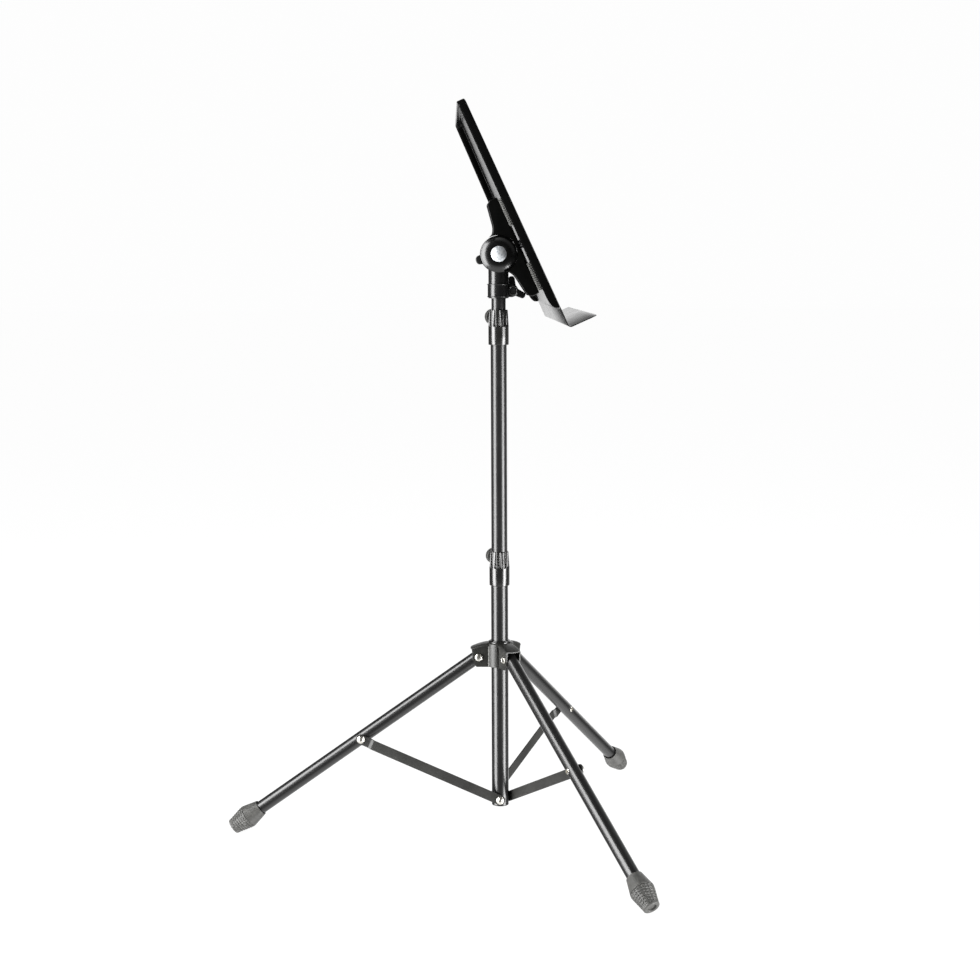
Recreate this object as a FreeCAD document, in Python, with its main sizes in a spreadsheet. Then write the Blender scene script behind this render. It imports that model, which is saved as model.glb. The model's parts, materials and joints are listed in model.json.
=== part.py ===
import FreeCAD, Part
import math
import os
import re
import Sketcher

# A tripod music stand: folding tripod, three telescoping tubes with two clutches,
# and a tilting sheet-metal desk on a swivelling head.
# Origin: the point on the floor under the column. +Z up, the reader stands on the -Y side.

doc = FreeCAD.newDocument("music_stand")
dims = doc.addObject("Spreadsheet::Sheet", "dims")
names = []
nodes = []


# ---------------------------------------------------------------- driving dimensions

def size(name, text):
    """Put one driving dimension, or a formula of earlier ones, in the next row of the sheet."""
    names.append(name)
    row = len(names)
    dims.set("A%d" % row, name)
    dims.set("B%d" % row, str(text))
    dims.setAlias("B%d" % row, name)


# fits
size("run_gap", 0.08)            # radial clearance of sliding and turning fits
size("seat_gap", 0.02)           # radial clearance of parts that are pressed together
size("free_gap", 0.3)            # air between parts that move past each other
size("screw_gap", 0.15)          # radial clearance round a clamp screw
size("nut_gap", 0.06)            # clearance of a nut in its pocket, across the flats
size("touch_gap", 0.1)           # between a screw's tip and its pad

# making
size("overrun", 1)               # how far a cut runs past the piece
size("bevel", 0.6)               # broken edges of turned pieces
size("head_rim", 0.8)            # straight rim under a domed head

# column tubes, as radii
size("lower_r", 12.9)
size("lower_bore", 12.3)
size("middle_r", 12.1)
size("middle_bore", 11.1)
size("upper_r", 10.6)
size("upper_bore", 9.6)
size("cap_bottom", 44.6)
size("cap_flange", 2)
size("lower_base", "=cap_bottom + cap_flange")
size("middle_base", 358)
size("upper_base", 430)
size("upper_top", 855)
size("plug_flange", 3)
size("plug_depth", 18)
size("plug_wall", 1.6)
size("cap_depth", 4)

# clutches
size("clutch_low", 385.8)
size("clutch_high", 748.4)
size("clutch_len", 52)
size("clutch_r", 15.3)
size("clutch_top_r", 13.6)
size("clutch_flare", 27)         # height at which the sleeve starts to narrow
size("tube_seat", 33)            # how far the outer tube goes into a clutch
size("clutch_edge", 1)
size("clamp_height", 41)
size("clamp_heading", 17)

# clamp screw sets
size("screw_r", 3)
size("nut_flats", 10)
size("nut_len", 4.5)
size("boss_r", 7.2)
size("pad_r", 2.9)
size("pad_len", 2.2)
size("grip_r", 12)
size("grip_len", 9.5)
size("grip_neck_r", 6)
size("grip_neck", 1.8)
size("grip_edge", 1.5)
size("grip_cover", 3)           # plastic over the screw's end
size("clutch_boss_end", 20)
size("hub_boss_end", 25.5)

# tripod
size("leg_heading", 87.8)        # heading of the rear leg, measured from +X
size("leg_angle", 54.8)          # between a leg and the vertical
size("pivot_reach", 31.8)
size("pivot_z", 276.8)
size("leg_r", 10)
size("leg_bore", 8.8)
size("leg_back", 9)              # tube beyond its pivot
size("foot_r", 12)              # at the tread's end
size("foot_edge", 2)
size("foot_len", 53)
size("foot_collar_r", 11.6)
size("foot_waist_r", 17.2)       # where the foot is widest
size("foot_waist", 24)
size("foot_floor", 8)            # rubber under the end of the leg tube
size("foot_dish_r", 7)
size("foot_dish", 2.5)
size("leg_len", "=(pivot_z - foot_r * sin(leg_angle)) / cos(leg_angle) + foot_edge")
size("hub_bottom", 262)
size("hub_top", 298.4)
size("hub_r", 20.5)
size("hub_wall", 1.6)
size("lug_reach", 45)
size("lug_rake", 8)              # how far the lug's foot lies behind its nose
size("lug_nose", 1)
size("lug_nose_rise", 15)
size("lug_root", 5)              # where the lugs start, inside the shell
size("hub_edge", 1)
size("lug_top_end", 289.5)
size("lug_slot", 10.4)           # half the space for a leg
size("slot_start", 17.3)
size("lock_heading", "=leg_heading - 60")
size("bush_r", 14.5)
size("bush_rise", 2)
size("hub_lock_z", 281)
size("pivot_rivet_r", 3)
size("rivet_r", 2.5)
size("rivet_head_r", 6.1)
size("rivet_dome", 4)
size("rivet_tail_r", 4.3)
size("rivet_tail", 1.3)
size("rivet_hollow_r", 2)
size("rivet_hollow", 3)

# braces
size("brace_z", 54.8)
size("brace_on_leg", 220.8)
size("brace_width", 15)
size("brace_thick", 2.5)
size("brace_slack_r", 3.9)       # the hole at the upper end, where the four-bar loop is open
size("joggle_start", 20)
size("joggle_end", 14)
size("brace_side", "=lower_r + free_gap")
size("brace_leg_side", "=leg_r + free_gap")
size("brace_run", "=pivot_reach + brace_on_leg * sin(leg_angle)")
size("brace_rise", "=pivot_z - brace_on_leg * cos(leg_angle) - brace_z")
size("brace_len", "=sqrt(brace_run * brace_run + brace_rise * brace_rise)")
size("bulb_in", 10.2)
size("bulb_out", 11.6)
size("bulb_r", 3.4)

# head
size("neck_r", 15)
size("neck_bottom", 817.4)
size("neck_bore_top", 858)
size("neck_top", 862)            # the round neck ends below the friction washers
size("boss_z", 882.3)
size("knuckle_r", 26)
size("knuckle_half", 14.2)
size("washer_r", 19)
size("washer_thick", 1.1)
size("slit", 2.4)
size("slit_top", 845)
size("rim_low", 818.9)
size("rim_high", 838.7)
size("rim_r", 17)
size("rim_thick", 1.5)
size("band_r", 16.1)
size("ear_half", 4.2)
size("ear_reach", 29)
size("ear_root", 10)
size("clamp_bolt_y", 21.4)
size("clamp_bolt_z", 828.8)
size("clamp_bolt_r", 2.5)
size("clamp_hex", 8)
size("clamp_hex_len", 3.6)
size("clamp_boss_r", 7.4)        # ring round the bolt's head
size("clamp_boss", 4.3)
size("clamp_recess_r", 5.2)
size("star_rim", 2)              # raised rim on a star knob's hub
size("star_dish", 0.8)
size("clamp_star_r", 21)
size("clamp_star_hub_r", 7.5)
size("clamp_star_tip_r", 4.4)
size("clamp_star_root", 6.6)
size("clamp_star_collar_r", 4)   # clears the band's rims
size("clamp_star_collar", 10.5)
size("clamp_star_arm", 20.8)     # the arms start this far from the middle plane
size("clamp_star_end", 28.5)
size("clamp_star_turn", 4)

# tilting desk, in its own frame: x across, y up the slope, z towards the reader,
# origin on the tilt axis
size("desk_lean", 24)
size("cheek_in", 15.6)
size("cheek_out", 19)
size("disc_r", 27)
size("disc_out", 22)
size("bracket_reach", 76)
size("bracket_nose", 1.5)        # the arm's end leans out by this much
size("bracket_nose_z", 21)
size("bracket_heel", 3.5)
size("bracket_heel_z", 14)
size("bracket_bend", 38)         # where an arm's back bends towards the round cheek
size("bracket_bend_z", 8.5)
size("bracket_root", 31.5)
size("bracket_root_z", 4.5)
size("bracket_join_z", -2)
size("bracket_corner", 4)
size("disc_edge", 1.2)
size("bracket_face", 34)
size("plate_seat", 31.5)
size("plate_start", 30)
size("web_back", 27.5)
size("bolt_r", 4)
size("bolt_head_r", 11.5)
size("bolt_dome", 5)
size("bolt_square", 8)
size("bolt_end", 36)
size("steel_washer_r", 11)
size("steel_washer", 1.6)
size("tilt_star_r", 34)
size("tilt_star_hub_r", 11)
size("tilt_star_root", 11)
size("tilt_star_tip_r", 6)
size("tilt_star_collar_r", 9)
size("tilt_star_collar", 26)
size("tilt_star_arm", 28)
size("tilt_star_end", 40)
size("tilt_star_turn", 73)
size("sheet_thick", 1.2)
size("desk_front", 38.2)
size("desk_bottom", -96.6)
size("desk_top", 211.6)
size("desk_low_half", 280)
size("desk_high_half", 200)
size("flange_depth", 12)
size("desk_corner", 10)
size("shelf_y", -126.2)
size("shelf_depth", 40)
size("shelf_bend", 4)
size("shelf_corner", 9)
size("screw_pitch", 64)
size("desk_screw_r", 3)
size("desk_head_r", 6)
size("desk_head", "=desk_head_r - desk_screw_r")   # countersunk at 90 degrees
size("plate_half", 24)
size("plate_gap", 0.1)
size("spacer_r", 6.5)
doc.recompute()


def bound(text):
    """The same formula with every dimension's name pointing at the sheet."""
    known = lambda word: "dims." + word.group(0) if word.group(0) in names else word.group(0)
    return re.sub(r"[a-z_]\w*", known, text)


def value(text):
    """The present value of a formula."""
    return float(dims.evalExpression(bound(text)))


# ---------------------------------------------------------------- ways of making a piece

def new_body(label):
    body = doc.addObject("PartDesign::Body", label)
    body.Label = label
    return body


def origin_part(body, role):
    return [feature for feature in body.Origin.OriginFeatures if feature.Role == role][0]


def new_sketch(body, plane, offset="0"):
    sketch = body.newObject("Sketcher::SketchObject", "sketch")
    sketch.AttachmentSupport = [(origin_part(body, plane), "")]
    sketch.MapMode = "FlatFace"
    sketch.setExpression("AttachmentOffset.Base.z", bound(offset))
    return sketch


def hold(sketch, geometry, point, kind, text):
    """Hold one coordinate of a sketch point at a formula's value."""
    number = value(text)
    if abs(number) < 1e-9:
        axis = -2 if kind == "DistanceX" else -1
        sketch.addConstraint(Sketcher.Constraint("PointOnObject", geometry, point, axis))
        return
    index = sketch.addConstraint(Sketcher.Constraint(kind, -1, 1, geometry, point, number))
    sketch.setExpression("Constraints[%d]" % index, bound(text))


def draw_outline(sketch, points):
    """A closed outline. A point is (x, y), or (x, y, cx) when it is reached along an arc
    whose centre has the x coordinate cx. Half circles run anticlockwise."""
    corners = [FreeCAD.Vector(value(point[0]), value(point[1]), 0) for point in points]
    first = sketch.GeometryCount
    starts = []
    for index, point in enumerate(points):
        start = corners[index - 1]
        end = corners[index]
        if len(point) == 2:
            sketch.addGeometry(Part.LineSegment(start, end), False)
            starts.append((1, 2))
            continue
        centre_x = value(point[2])
        middle = (start + end) * 0.5
        if abs(end.y - start.y) < 1e-9:
            raise ValueError("an arc needs ends at different heights")
        centre_y = middle.y - (centre_x - middle.x) * (end.x - start.x) / (end.y - start.y)
        centre = FreeCAD.Vector(centre_x, centre_y, 0)
        circle = Part.Circle(centre, FreeCAD.Vector(0, 0, 1), (start - centre).Length)
        forward = (start - centre).cross(end - centre).z > -1e-6
        ends = (start, end) if forward else (end, start)
        angles = [math.atan2(spot.y - centre.y, spot.x - centre.x) for spot in ends]
        sketch.addGeometry(Part.ArcOfCircle(circle, angles[0], angles[1]), False)
        starts.append((1, 2) if forward else (2, 1))
    for index, point in enumerate(points):
        following = (index + 1) % len(points)
        sketch.addConstraint(Sketcher.Constraint(
            "Coincident", first + index, starts[index][1], first + following, starts[following][0]))
        hold(sketch, first + index, starts[index][1], "DistanceX", point[0])
        hold(sketch, first + index, starts[index][1], "DistanceY", point[1])
        if len(point) == 3:
            hold(sketch, first + index, 3, "DistanceX", point[2])


def both_halves(right_side):
    """A closed symmetrical outline from the points of its right half, listed upwards."""
    return right_side + [("-(%s)" % x, y) for x, y in reversed(right_side)]


def draw_circle(sketch, x, y, radius):
    centre = FreeCAD.Vector(value(x), value(y), 0)
    circle = Part.Circle(centre, FreeCAD.Vector(0, 0, 1), value(radius))
    index = sketch.addGeometry(circle, False)
    hold(sketch, index, 3, "DistanceX", x)
    hold(sketch, index, 3, "DistanceY", y)
    limit = sketch.addConstraint(Sketcher.Constraint("Radius", index, value(radius)))
    sketch.setExpression("Constraints[%d]" % limit, bound(radius))


def turn(body, outline):
    """Revolve an outline of (radius, height) about the body's Z axis."""
    sketch = new_sketch(body, "XZ_Plane")
    draw_outline(sketch, outline)
    feature = body.newObject("PartDesign::Revolution", "revolution")
    feature.Profile = sketch
    feature.ReferenceAxis = (sketch, ["V_Axis"])
    feature.Angle = 360
    doc.recompute()
    return feature


def pad(body, sketch, length, both_sides=False, backward=False):
    feature = body.newObject("PartDesign::Pad", "pad")
    feature.Profile = sketch
    feature.setExpression("Length", bound(length))
    feature.SideType = "Symmetric" if both_sides else "One side"
    feature.Reversed = backward
    doc.recompute()
    return feature


def cut(body, sketch, length, both_sides=False, backward=False):
    """Pocket that must take material away."""
    before = body.Shape.Volume
    feature = body.newObject("PartDesign::Pocket", "pocket")
    feature.Profile = sketch
    feature.setExpression("Length", bound(length))
    feature.SideType = "Symmetric" if both_sides else "One side"
    feature.Reversed = backward
    doc.recompute()
    if not body.Shape.Volume < before - 1e-6:
        raise RuntimeError("a pocket of %s cuts nothing" % body.Label)
    return feature


def around(body, features, count):
    """Repeat features round the body's Z axis."""
    pattern = body.newObject("PartDesign::PolarPattern", "pattern")
    pattern.Originals = features
    pattern.Axis = (origin_part(body, "Z_Axis"), [""])
    pattern.Angle = 360
    pattern.Occurrences = count
    body.Tip = pattern
    doc.recompute()
    return pattern


def round_edges(body, radius, wanted):
    """Fillet the edges that wanted() picks from the body's present shape."""
    base = body.Tip
    picked = ["Edge%d" % (index + 1) for index, edge in enumerate(base.Shape.Edges) if wanted(edge)]
    if not picked:
        raise RuntimeError("no edge to round on %s" % body.Label)
    feature = body.newObject("PartDesign::Fillet", "fillet")
    feature.Base = (base, picked)
    feature.Radius = radius
    doc.recompute()
    return feature


def runs_along(edge, axis):
    """Whether a straight edge is parallel to an axis."""
    if edge.Curve.TypeId != "Part::GeomLine":
        return False
    return abs(abs(edge.Curve.Direction.dot(axis)) - 1) < 1e-6


X = FreeCAD.Vector(1, 0, 0)
Y = FreeCAD.Vector(0, 1, 0)
Z = FreeCAD.Vector(0, 0, 1)


def turned_by(axis, degrees):
    return FreeCAD.Rotation(axis, degrees)


def put(piece, where, rotation=FreeCAD.Rotation()):
    piece.Placement = FreeCAD.Placement(where, rotation)
    return piece


def keep(piece):
    nodes.append(piece)
    return piece


def group(label, pieces):
    """Identical separate fasteners that share one node."""
    compound = doc.addObject("Part::Compound", label)
    compound.Label = label
    compound.Links = pieces
    doc.recompute()
    return keep(compound)


def tube(label, radius, bore, base, top):
    body = new_body(label)
    turn(body, [(bore, base), (radius, base), (radius, top), (bore, top)])
    return keep(body)


# ---------------------------------------------------------------- clamp screw sets

def nut_outline(flats):
    """Corners of a hexagon across its flats, two of them on the sketch's x axis."""
    corner = "%s / sqrt(3)" % flats
    half = "%s / sqrt(3) / 2" % flats
    side = "%s / 2" % flats
    return [(corner, "0"), (half, side), ("-" + half, side),
            ("-" + corner, "0"), ("-" + half, "-" + side), (half, "-" + side)]


def hexagon(flats):
    """Corners of a hexagon with two flats across the sketch's x axis."""
    return [(y, x) for x, y in nut_outline(flats)]


def add_clamp_boss(body, height, boss_end):
    """A round boss along +X for the clamp screw."""
    sketch = new_sketch(body, "YZ_Plane")
    draw_circle(sketch, "0", height, "boss_r")
    pad(body, sketch, boss_end)


def drill_clamp_boss(body, height, boss_end):
    """The screw's hole and the pocket that its nut is pressed into."""
    hole = new_sketch(body, "YZ_Plane")
    draw_circle(hole, "0", height, "screw_r + screw_gap")
    cut(body, hole, boss_end + " + overrun", backward=True)
    trap = new_sketch(body, "YZ_Plane", boss_end)
    outline = [(x, "(%s) + (%s)" % (height, y)) for x, y in nut_outline("(nut_flats + nut_gap)")]
    draw_outline(trap, outline)
    cut(body, trap, "nut_len")


def clamp_set(name, height, heading, inner_r, boss_end):
    """Pad, screw, nut and round grip, along a radius of the column."""
    direction = turned_by(Z, value(heading)) * turned_by(Y, 90)
    where = FreeCAD.Vector(0, 0, value(height))
    pad_start = inner_r + " + free_gap"
    pad_end = pad_start + " + pad_len"
    brake = new_body(name + "_pad")
    turn(brake, [("0", pad_start), ("pad_r", pad_start), ("pad_r", pad_end), ("0", pad_end)])
    keep(put(brake, where, direction))

    nut = new_body(name + "_nut")
    sketch = new_sketch(nut, "XY_Plane", boss_end + " - nut_len")
    draw_outline(sketch, hexagon("nut_flats"))
    draw_circle(sketch, "0", "0", "screw_r + run_gap")
    pad(nut, sketch, "nut_len")
    keep(put(nut, where, direction))

    screw_start = pad_end + " + touch_gap"
    grip_start = boss_end + " + free_gap"
    body_start = grip_start + " + grip_neck"
    grip_end = body_start + " + grip_len"
    screw_end = grip_end + " - grip_cover"
    screw = new_body(name + "_screw")
    turn(screw, [("0", screw_start), ("screw_r - bevel", screw_start), ("screw_r", screw_start + " + bevel"),
                 ("screw_r", screw_end), ("0", screw_end)])
    keep(put(screw, where, direction))

    grip = new_body(name + "_knob")
    turn(grip, [("screw_r + seat_gap", grip_start), ("grip_neck_r", grip_start),
                ("grip_neck_r", body_start), ("grip_r - grip_edge", body_start),
                ("grip_r", body_start + " + grip_edge"), ("grip_r", grip_end + " - grip_edge"),
                ("grip_r - grip_edge", grip_end), ("0", grip_end), ("0", screw_end),
                ("screw_r + seat_gap", screw_end)])
    keep(put(grip, where, direction))


# ---------------------------------------------------------------- column

def lower_tube():
    body = tube("lower_tube", "lower_r", "lower_bore", "lower_base", "clutch_low + tube_seat")
    hole = new_sketch(body, "XZ_Plane")
    draw_circle(hole, "0", "brace_z", "rivet_r + seat_gap")
    drilled = cut(body, hole, "lower_r + overrun")
    around(body, [drilled], 3)
    put(body, FreeCAD.Vector(), turned_by(Z, value("leg_heading")))


def lower_tube_cap():
    body = new_body("lower_tube_cap")
    edge = "cap_bottom + bevel"
    top = "lower_base + cap_depth"
    turn(body, [("0", "cap_bottom"), ("lower_r - bevel", "cap_bottom"), ("lower_r", edge),
                ("lower_r", "lower_base"), ("lower_bore - seat_gap", "lower_base"),
                ("lower_bore - seat_gap", top), ("0", top)])
    keep(body)


def tube_plug(label, base, seat_bore, sliding_bore):
    """Guide plug in the lower end of a sliding tube."""
    body = new_body(label)
    flange = base + " - plug_flange"
    top = base + " + plug_depth"
    slide = sliding_bore + " - run_gap"
    seat = seat_bore + " - seat_gap"
    inside = seat + " - plug_wall"
    turn(body, [(inside, flange), (slide + " - bevel", flange), (slide, flange + " + bevel"),
                (slide, base), (seat, base), (seat, top), (inside, top)])
    keep(body)


def clutch(name, base, seat_r, guide_r):
    """A sleeve pressed onto the outer tube, with the clamp set for the inner one."""
    body = new_body(name + "_sleeve")
    top = "clutch_len"
    turn(body, [("0", "0"), ("clutch_r - clutch_edge", "0"), ("clutch_r", "clutch_edge"),
                ("clutch_r", "clutch_flare"), ("clutch_top_r", top + " - clutch_edge / 2"),
                ("clutch_top_r - clutch_edge / 2", top), ("0", top)])
    add_clamp_boss(body, "clamp_height", "clutch_boss_end")
    seat = new_sketch(body, "XY_Plane")
    draw_circle(seat, "0", "0", seat_r + " + seat_gap")
    cut(body, seat, "tube_seat", backward=True)
    guide = new_sketch(body, "XY_Plane")
    draw_circle(guide, "0", "0", guide_r + " + run_gap")
    cut(body, guide, "clutch_len + overrun", backward=True)
    drill_clamp_boss(body, "clamp_height", "clutch_boss_end")
    keep(put(body, FreeCAD.Vector(0, 0, value(base)), turned_by(Z, value("clamp_heading"))))
    clamp_set(name, base + " + clamp_height", "clamp_heading", guide_r, "clutch_boss_end")


lower_tube()
lower_tube_cap()
clutch("lower_clutch", "clutch_low", "lower_r", "middle_r")
tube("middle_tube", "middle_r", "middle_bore", "middle_base", "clutch_high + tube_seat")
tube_plug("middle_tube_plug", "middle_base", "middle_bore", "lower_bore")
clutch("upper_clutch", "clutch_high", "middle_r", "upper_r")
tube("upper_tube", "upper_r", "upper_bore", "upper_base", "upper_top")
tube_plug("upper_tube_plug", "upper_base", "upper_bore", "middle_bore")


# ---------------------------------------------------------------- hub

def hub():
    """A pressed shell round the column with three covered lugs for the legs. One lug points
    along the body's -X, and the boss of the lock screw along +X."""
    body = new_body("hub")
    turn(body, [("0", "hub_bottom"), ("hub_r", "hub_bottom"), ("hub_r", "hub_top - hub_edge"),
                ("hub_r - hub_edge", "hub_top"), ("0", "hub_top")])
    lug = new_sketch(body, "XZ_Plane")
    draw_outline(lug, [("-lug_root", "hub_bottom"), ("lug_rake - lug_reach", "hub_bottom"),
                       ("lug_nose - lug_reach", "hub_bottom + lug_nose_rise"), ("-lug_reach", "lug_top_end"),
                       ("-hub_r", "hub_top"), ("-lug_root", "hub_top")])
    lug_pad = pad(body, lug, "2 * (lug_slot + hub_wall)", both_sides=True)
    around(body, [lug_pad], 3)
    add_clamp_boss(body, "hub_lock_z", "hub_boss_end")
    bore = new_sketch(body, "XY_Plane", "hub_bottom - overrun")
    draw_circle(bore, "0", "0", "bush_r + seat_gap")
    cut(body, bore, "hub_top - hub_bottom + 2 * overrun", backward=True)
    slot = new_sketch(body, "XZ_Plane")
    below = "hub_bottom - overrun"
    beyond = "-overrun - lug_reach"
    ceiling = "hub_top - hub_wall"
    draw_outline(slot, [("-slot_start", below), (beyond, below), (beyond, "lug_top_end - hub_wall - overrun"),
                        ("-hub_r", ceiling), ("-slot_start", ceiling)])
    slot_cut = cut(body, slot, "2 * lug_slot", both_sides=True)
    around(body, [slot_cut], 3)
    hole = new_sketch(body, "XZ_Plane")
    draw_circle(hole, "-pivot_reach", "pivot_z", "pivot_rivet_r + seat_gap")
    hole_cut = cut(body, hole, "2 * (lug_slot + hub_wall + overrun)", both_sides=True)
    around(body, [hole_cut], 3)
    drill_clamp_boss(body, "hub_lock_z", "hub_boss_end")
    put(body, FreeCAD.Vector(), turned_by(Z, value("lock_heading")))
    keep(body)


def hub_bush():
    body = new_body("hub_bush")
    bore = "lower_r + run_gap"
    high = "hub_top + bush_rise"
    turn(body, [(bore, "hub_bottom"), ("bush_r", "hub_bottom"), ("bush_r", high + " - bevel"),
                ("bush_r - bevel", high), (bore, high)])
    hole = new_sketch(body, "YZ_Plane")
    draw_circle(hole, "0", "hub_lock_z", "screw_r + screw_gap")
    cut(body, hole, "bush_r + overrun", backward=True)
    put(body, FreeCAD.Vector(), turned_by(Z, value("lock_heading")))
    keep(body)


def dome(radius, start, height):
    """Outline points of a domed head from its rim to the axis."""
    return [(radius, start), (radius, start + " + head_rim"), ("0", start + " + " + height, "0")]


def rivet(label, shank_r, tail_start, head_start):
    """A rivet along Z: hollow clinched tail below, domed head above."""
    body = new_body(label)
    tail_end = tail_start + " - rivet_tail"
    hollow_top = tail_end + " + rivet_hollow"
    turn(body, [("0", hollow_top), ("rivet_hollow_r", hollow_top), ("rivet_hollow_r", tail_end),
                ("rivet_tail_r - bevel", tail_end), ("rivet_tail_r", tail_end + " + bevel"),
                ("rivet_tail_r", tail_start), (shank_r, tail_start), (shank_r, head_start)]
         + dome("rivet_head_r", head_start, "rivet_dome"))
    return body


def anchor_rivet(label):
    """A blind rivet that holds a brace to the column tube."""
    body = new_body(label)
    head = "brace_side + brace_thick + free_gap"
    turn(body, [("0", "bulb_in"), ("bulb_r", "bulb_in"), ("bulb_r", "bulb_out"),
                ("rivet_r", "bulb_out"), ("rivet_r", head)]
         + dome("rivet_head_r", head, "rivet_dome"))
    return body


def leg_headings():
    """The name and heading of each leg, anticlockwise from above."""
    first = value("leg_heading")
    return [("rear", first), ("left", first + 120), ("right", first + 240)]


def on_hub(heading, reach, height):
    angle = math.radians(heading)
    return FreeCAD.Vector(value(reach) * math.cos(angle), value(reach) * math.sin(angle), value(height))


hub()
hub_bush()
clamp_set("hub_lock", "hub_lock_z", "lock_heading", "lower_r", "hub_boss_end")


# ---------------------------------------------------------------- legs, feet and braces

def leg(name, heading):
    """A tube along the body's +Z, with rivet holes across it along Y."""
    body = new_body(name + "_leg")
    turn(body, [("leg_bore", "-leg_back"), ("leg_r", "-leg_back"), ("leg_r", "leg_len - foot_floor"),
                ("leg_bore", "leg_len - foot_floor")])
    for height, radius in (("0", "pivot_rivet_r + run_gap"), ("brace_on_leg", "rivet_r + seat_gap")):
        hole = new_sketch(body, "XZ_Plane")
        draw_circle(hole, "0", height, radius)
        cut(body, hole, "2 * (leg_r + overrun)", both_sides=True)
    place_on_leg(body, heading)
    keep(body)


def place_on_leg(piece, heading, extra=FreeCAD.Rotation(), along="0"):
    tilt = turned_by(Z, heading) * turned_by(Y, 180 - value("leg_angle"))
    where = on_hub(heading, "pivot_reach", "pivot_z") + tilt.multVec(Z) * value(along)
    put(piece, where, tilt * extra)


def foot(name, heading):
    """A rubber boot: a cone that widens from its collar and one that narrows to the tread."""
    body = new_body(name + "_foot")
    start = "leg_len - foot_len"
    seat = "leg_len - foot_floor"
    dish = "leg_len - foot_dish"
    turn(body, [("leg_r + seat_gap", start), ("foot_collar_r - bevel", start),
                ("foot_collar_r", start + " + bevel"), ("foot_waist_r", start + " + foot_waist"),
                ("foot_r", "leg_len - foot_edge"), ("foot_r - foot_edge", "leg_len"),
                ("foot_dish_r", "leg_len"), ("foot_dish_r - bevel", dish), ("0", dish),
                ("0", seat), ("leg_r + seat_gap", seat)])
    place_on_leg(body, heading)
    keep(body)


def brace(name, heading):
    """A flat bar along the body's +X from its pin on the column to the leg, with one joggle."""
    body = new_body(name + "_brace")
    side = new_sketch(body, "XY_Plane")
    end = "brace_width / 2"
    outer = "brace_side + brace_thick"
    leg_outer = "brace_leg_side + brace_thick"
    bend_start = "brace_len - joggle_start"
    bend_end = "brace_len - joggle_end"
    tip = "brace_len + " + end
    draw_outline(side, [("-" + end, "brace_side"), (bend_start, "brace_side"), (bend_end, "brace_leg_side"),
                        (tip, "brace_leg_side"), (tip, leg_outer), (bend_end, leg_outer),
                        (bend_start, outer), ("-" + end, outer)])
    pad(body, side, "brace_width", both_sides=True)
    for along, radius in (("0", "rivet_r + run_gap"), ("brace_len", "brace_slack_r")):
        hole = new_sketch(body, "XZ_Plane")
        draw_circle(hole, along, "0", radius)
        cut(body, hole, "2 * (brace_side + brace_thick + overrun)", both_sides=True)
    corners = lambda edge: runs_along(edge, Y) and edge.Length < value("brace_thick + touch_gap")
    round_edges(body, value("brace_width / 2 - touch_gap"), corners)
    lean = 90 - math.degrees(math.atan2(value("brace_run"), value("brace_rise")))
    rotation = turned_by(Z, heading) * turned_by(Y, -lean)
    keep(put(body, FreeCAD.Vector(0, 0, value("brace_z")), rotation))


pivot_rivets = []
anchor_rivets = []
for leg_name, leg_direction in leg_headings():
    leg(leg_name, leg_direction)
    foot(leg_name, leg_direction)
    brace(leg_name, leg_direction)
    sideways = turned_by(Z, leg_direction) * turned_by(X, -90)
    lug_side = "lug_slot + hub_wall"
    pin = rivet(leg_name + "_pivot_pin", "pivot_rivet_r", "-(%s)" % lug_side, lug_side)
    pivot_rivets.append(put(pin, on_hub(leg_direction, "pivot_reach", "pivot_z"), sideways))
    anchor = anchor_rivet(leg_name + "_anchor_pin")
    anchor_rivets.append(put(anchor, FreeCAD.Vector(0, 0, value("brace_z")), sideways))
    brace_face = "brace_leg_side + brace_thick + free_gap"
    brace_pin = rivet(leg_name + "_brace_rivet", "rivet_r", "-leg_r", brace_face)
    place_on_leg(brace_pin, leg_direction, turned_by(X, -90), "brace_on_leg")
    keep(brace_pin)
group("leg_pivot_rivets", pivot_rivets)
group("brace_anchor_rivets", anchor_rivets)


# ---------------------------------------------------------------- head

def star(label, kind, hub_start, hole_r, hole_end):
    """A three-armed knob about +Z with a blind hole. One arm points along +X. Its sizes are
    the dimensions whose names start with its kind."""
    body = new_body(label)
    hub_r = kind + "_hub_r"
    waist = kind + "_collar"
    top = kind + "_end"
    floor = top + " - star_dish"
    collar_r = kind + "_collar_r"
    turn(body, [("0", hub_start), (collar_r, hub_start), (collar_r, waist), (hub_r, waist),
                (hub_r, floor), (hub_r + " - star_dish", top), (hub_r + " - star_rim", top),
                (hub_r + " - star_rim - star_dish / 2", floor), ("0", floor)])
    arm = new_sketch(body, "XY_Plane", kind + "_arm")
    root = kind + "_root"
    tip_r = kind + "_tip_r"
    tip = "%s_r - %s" % (kind, tip_r)
    draw_outline(arm, [("0", root), ("0", "-" + root), (tip, "-" + tip_r), (tip, tip_r, tip)])
    arm_pad = pad(body, arm, "%s - %s_arm - star_dish - star_dish / 4" % (top, kind))
    around(body, [arm_pad], 3)
    hole = new_sketch(body, "XY_Plane", hub_start)
    draw_circle(hole, "0", "0", hole_r)
    cut(body, hole, "(%s) - (%s)" % (hole_end, hub_start), backward=True)
    return body


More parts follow.
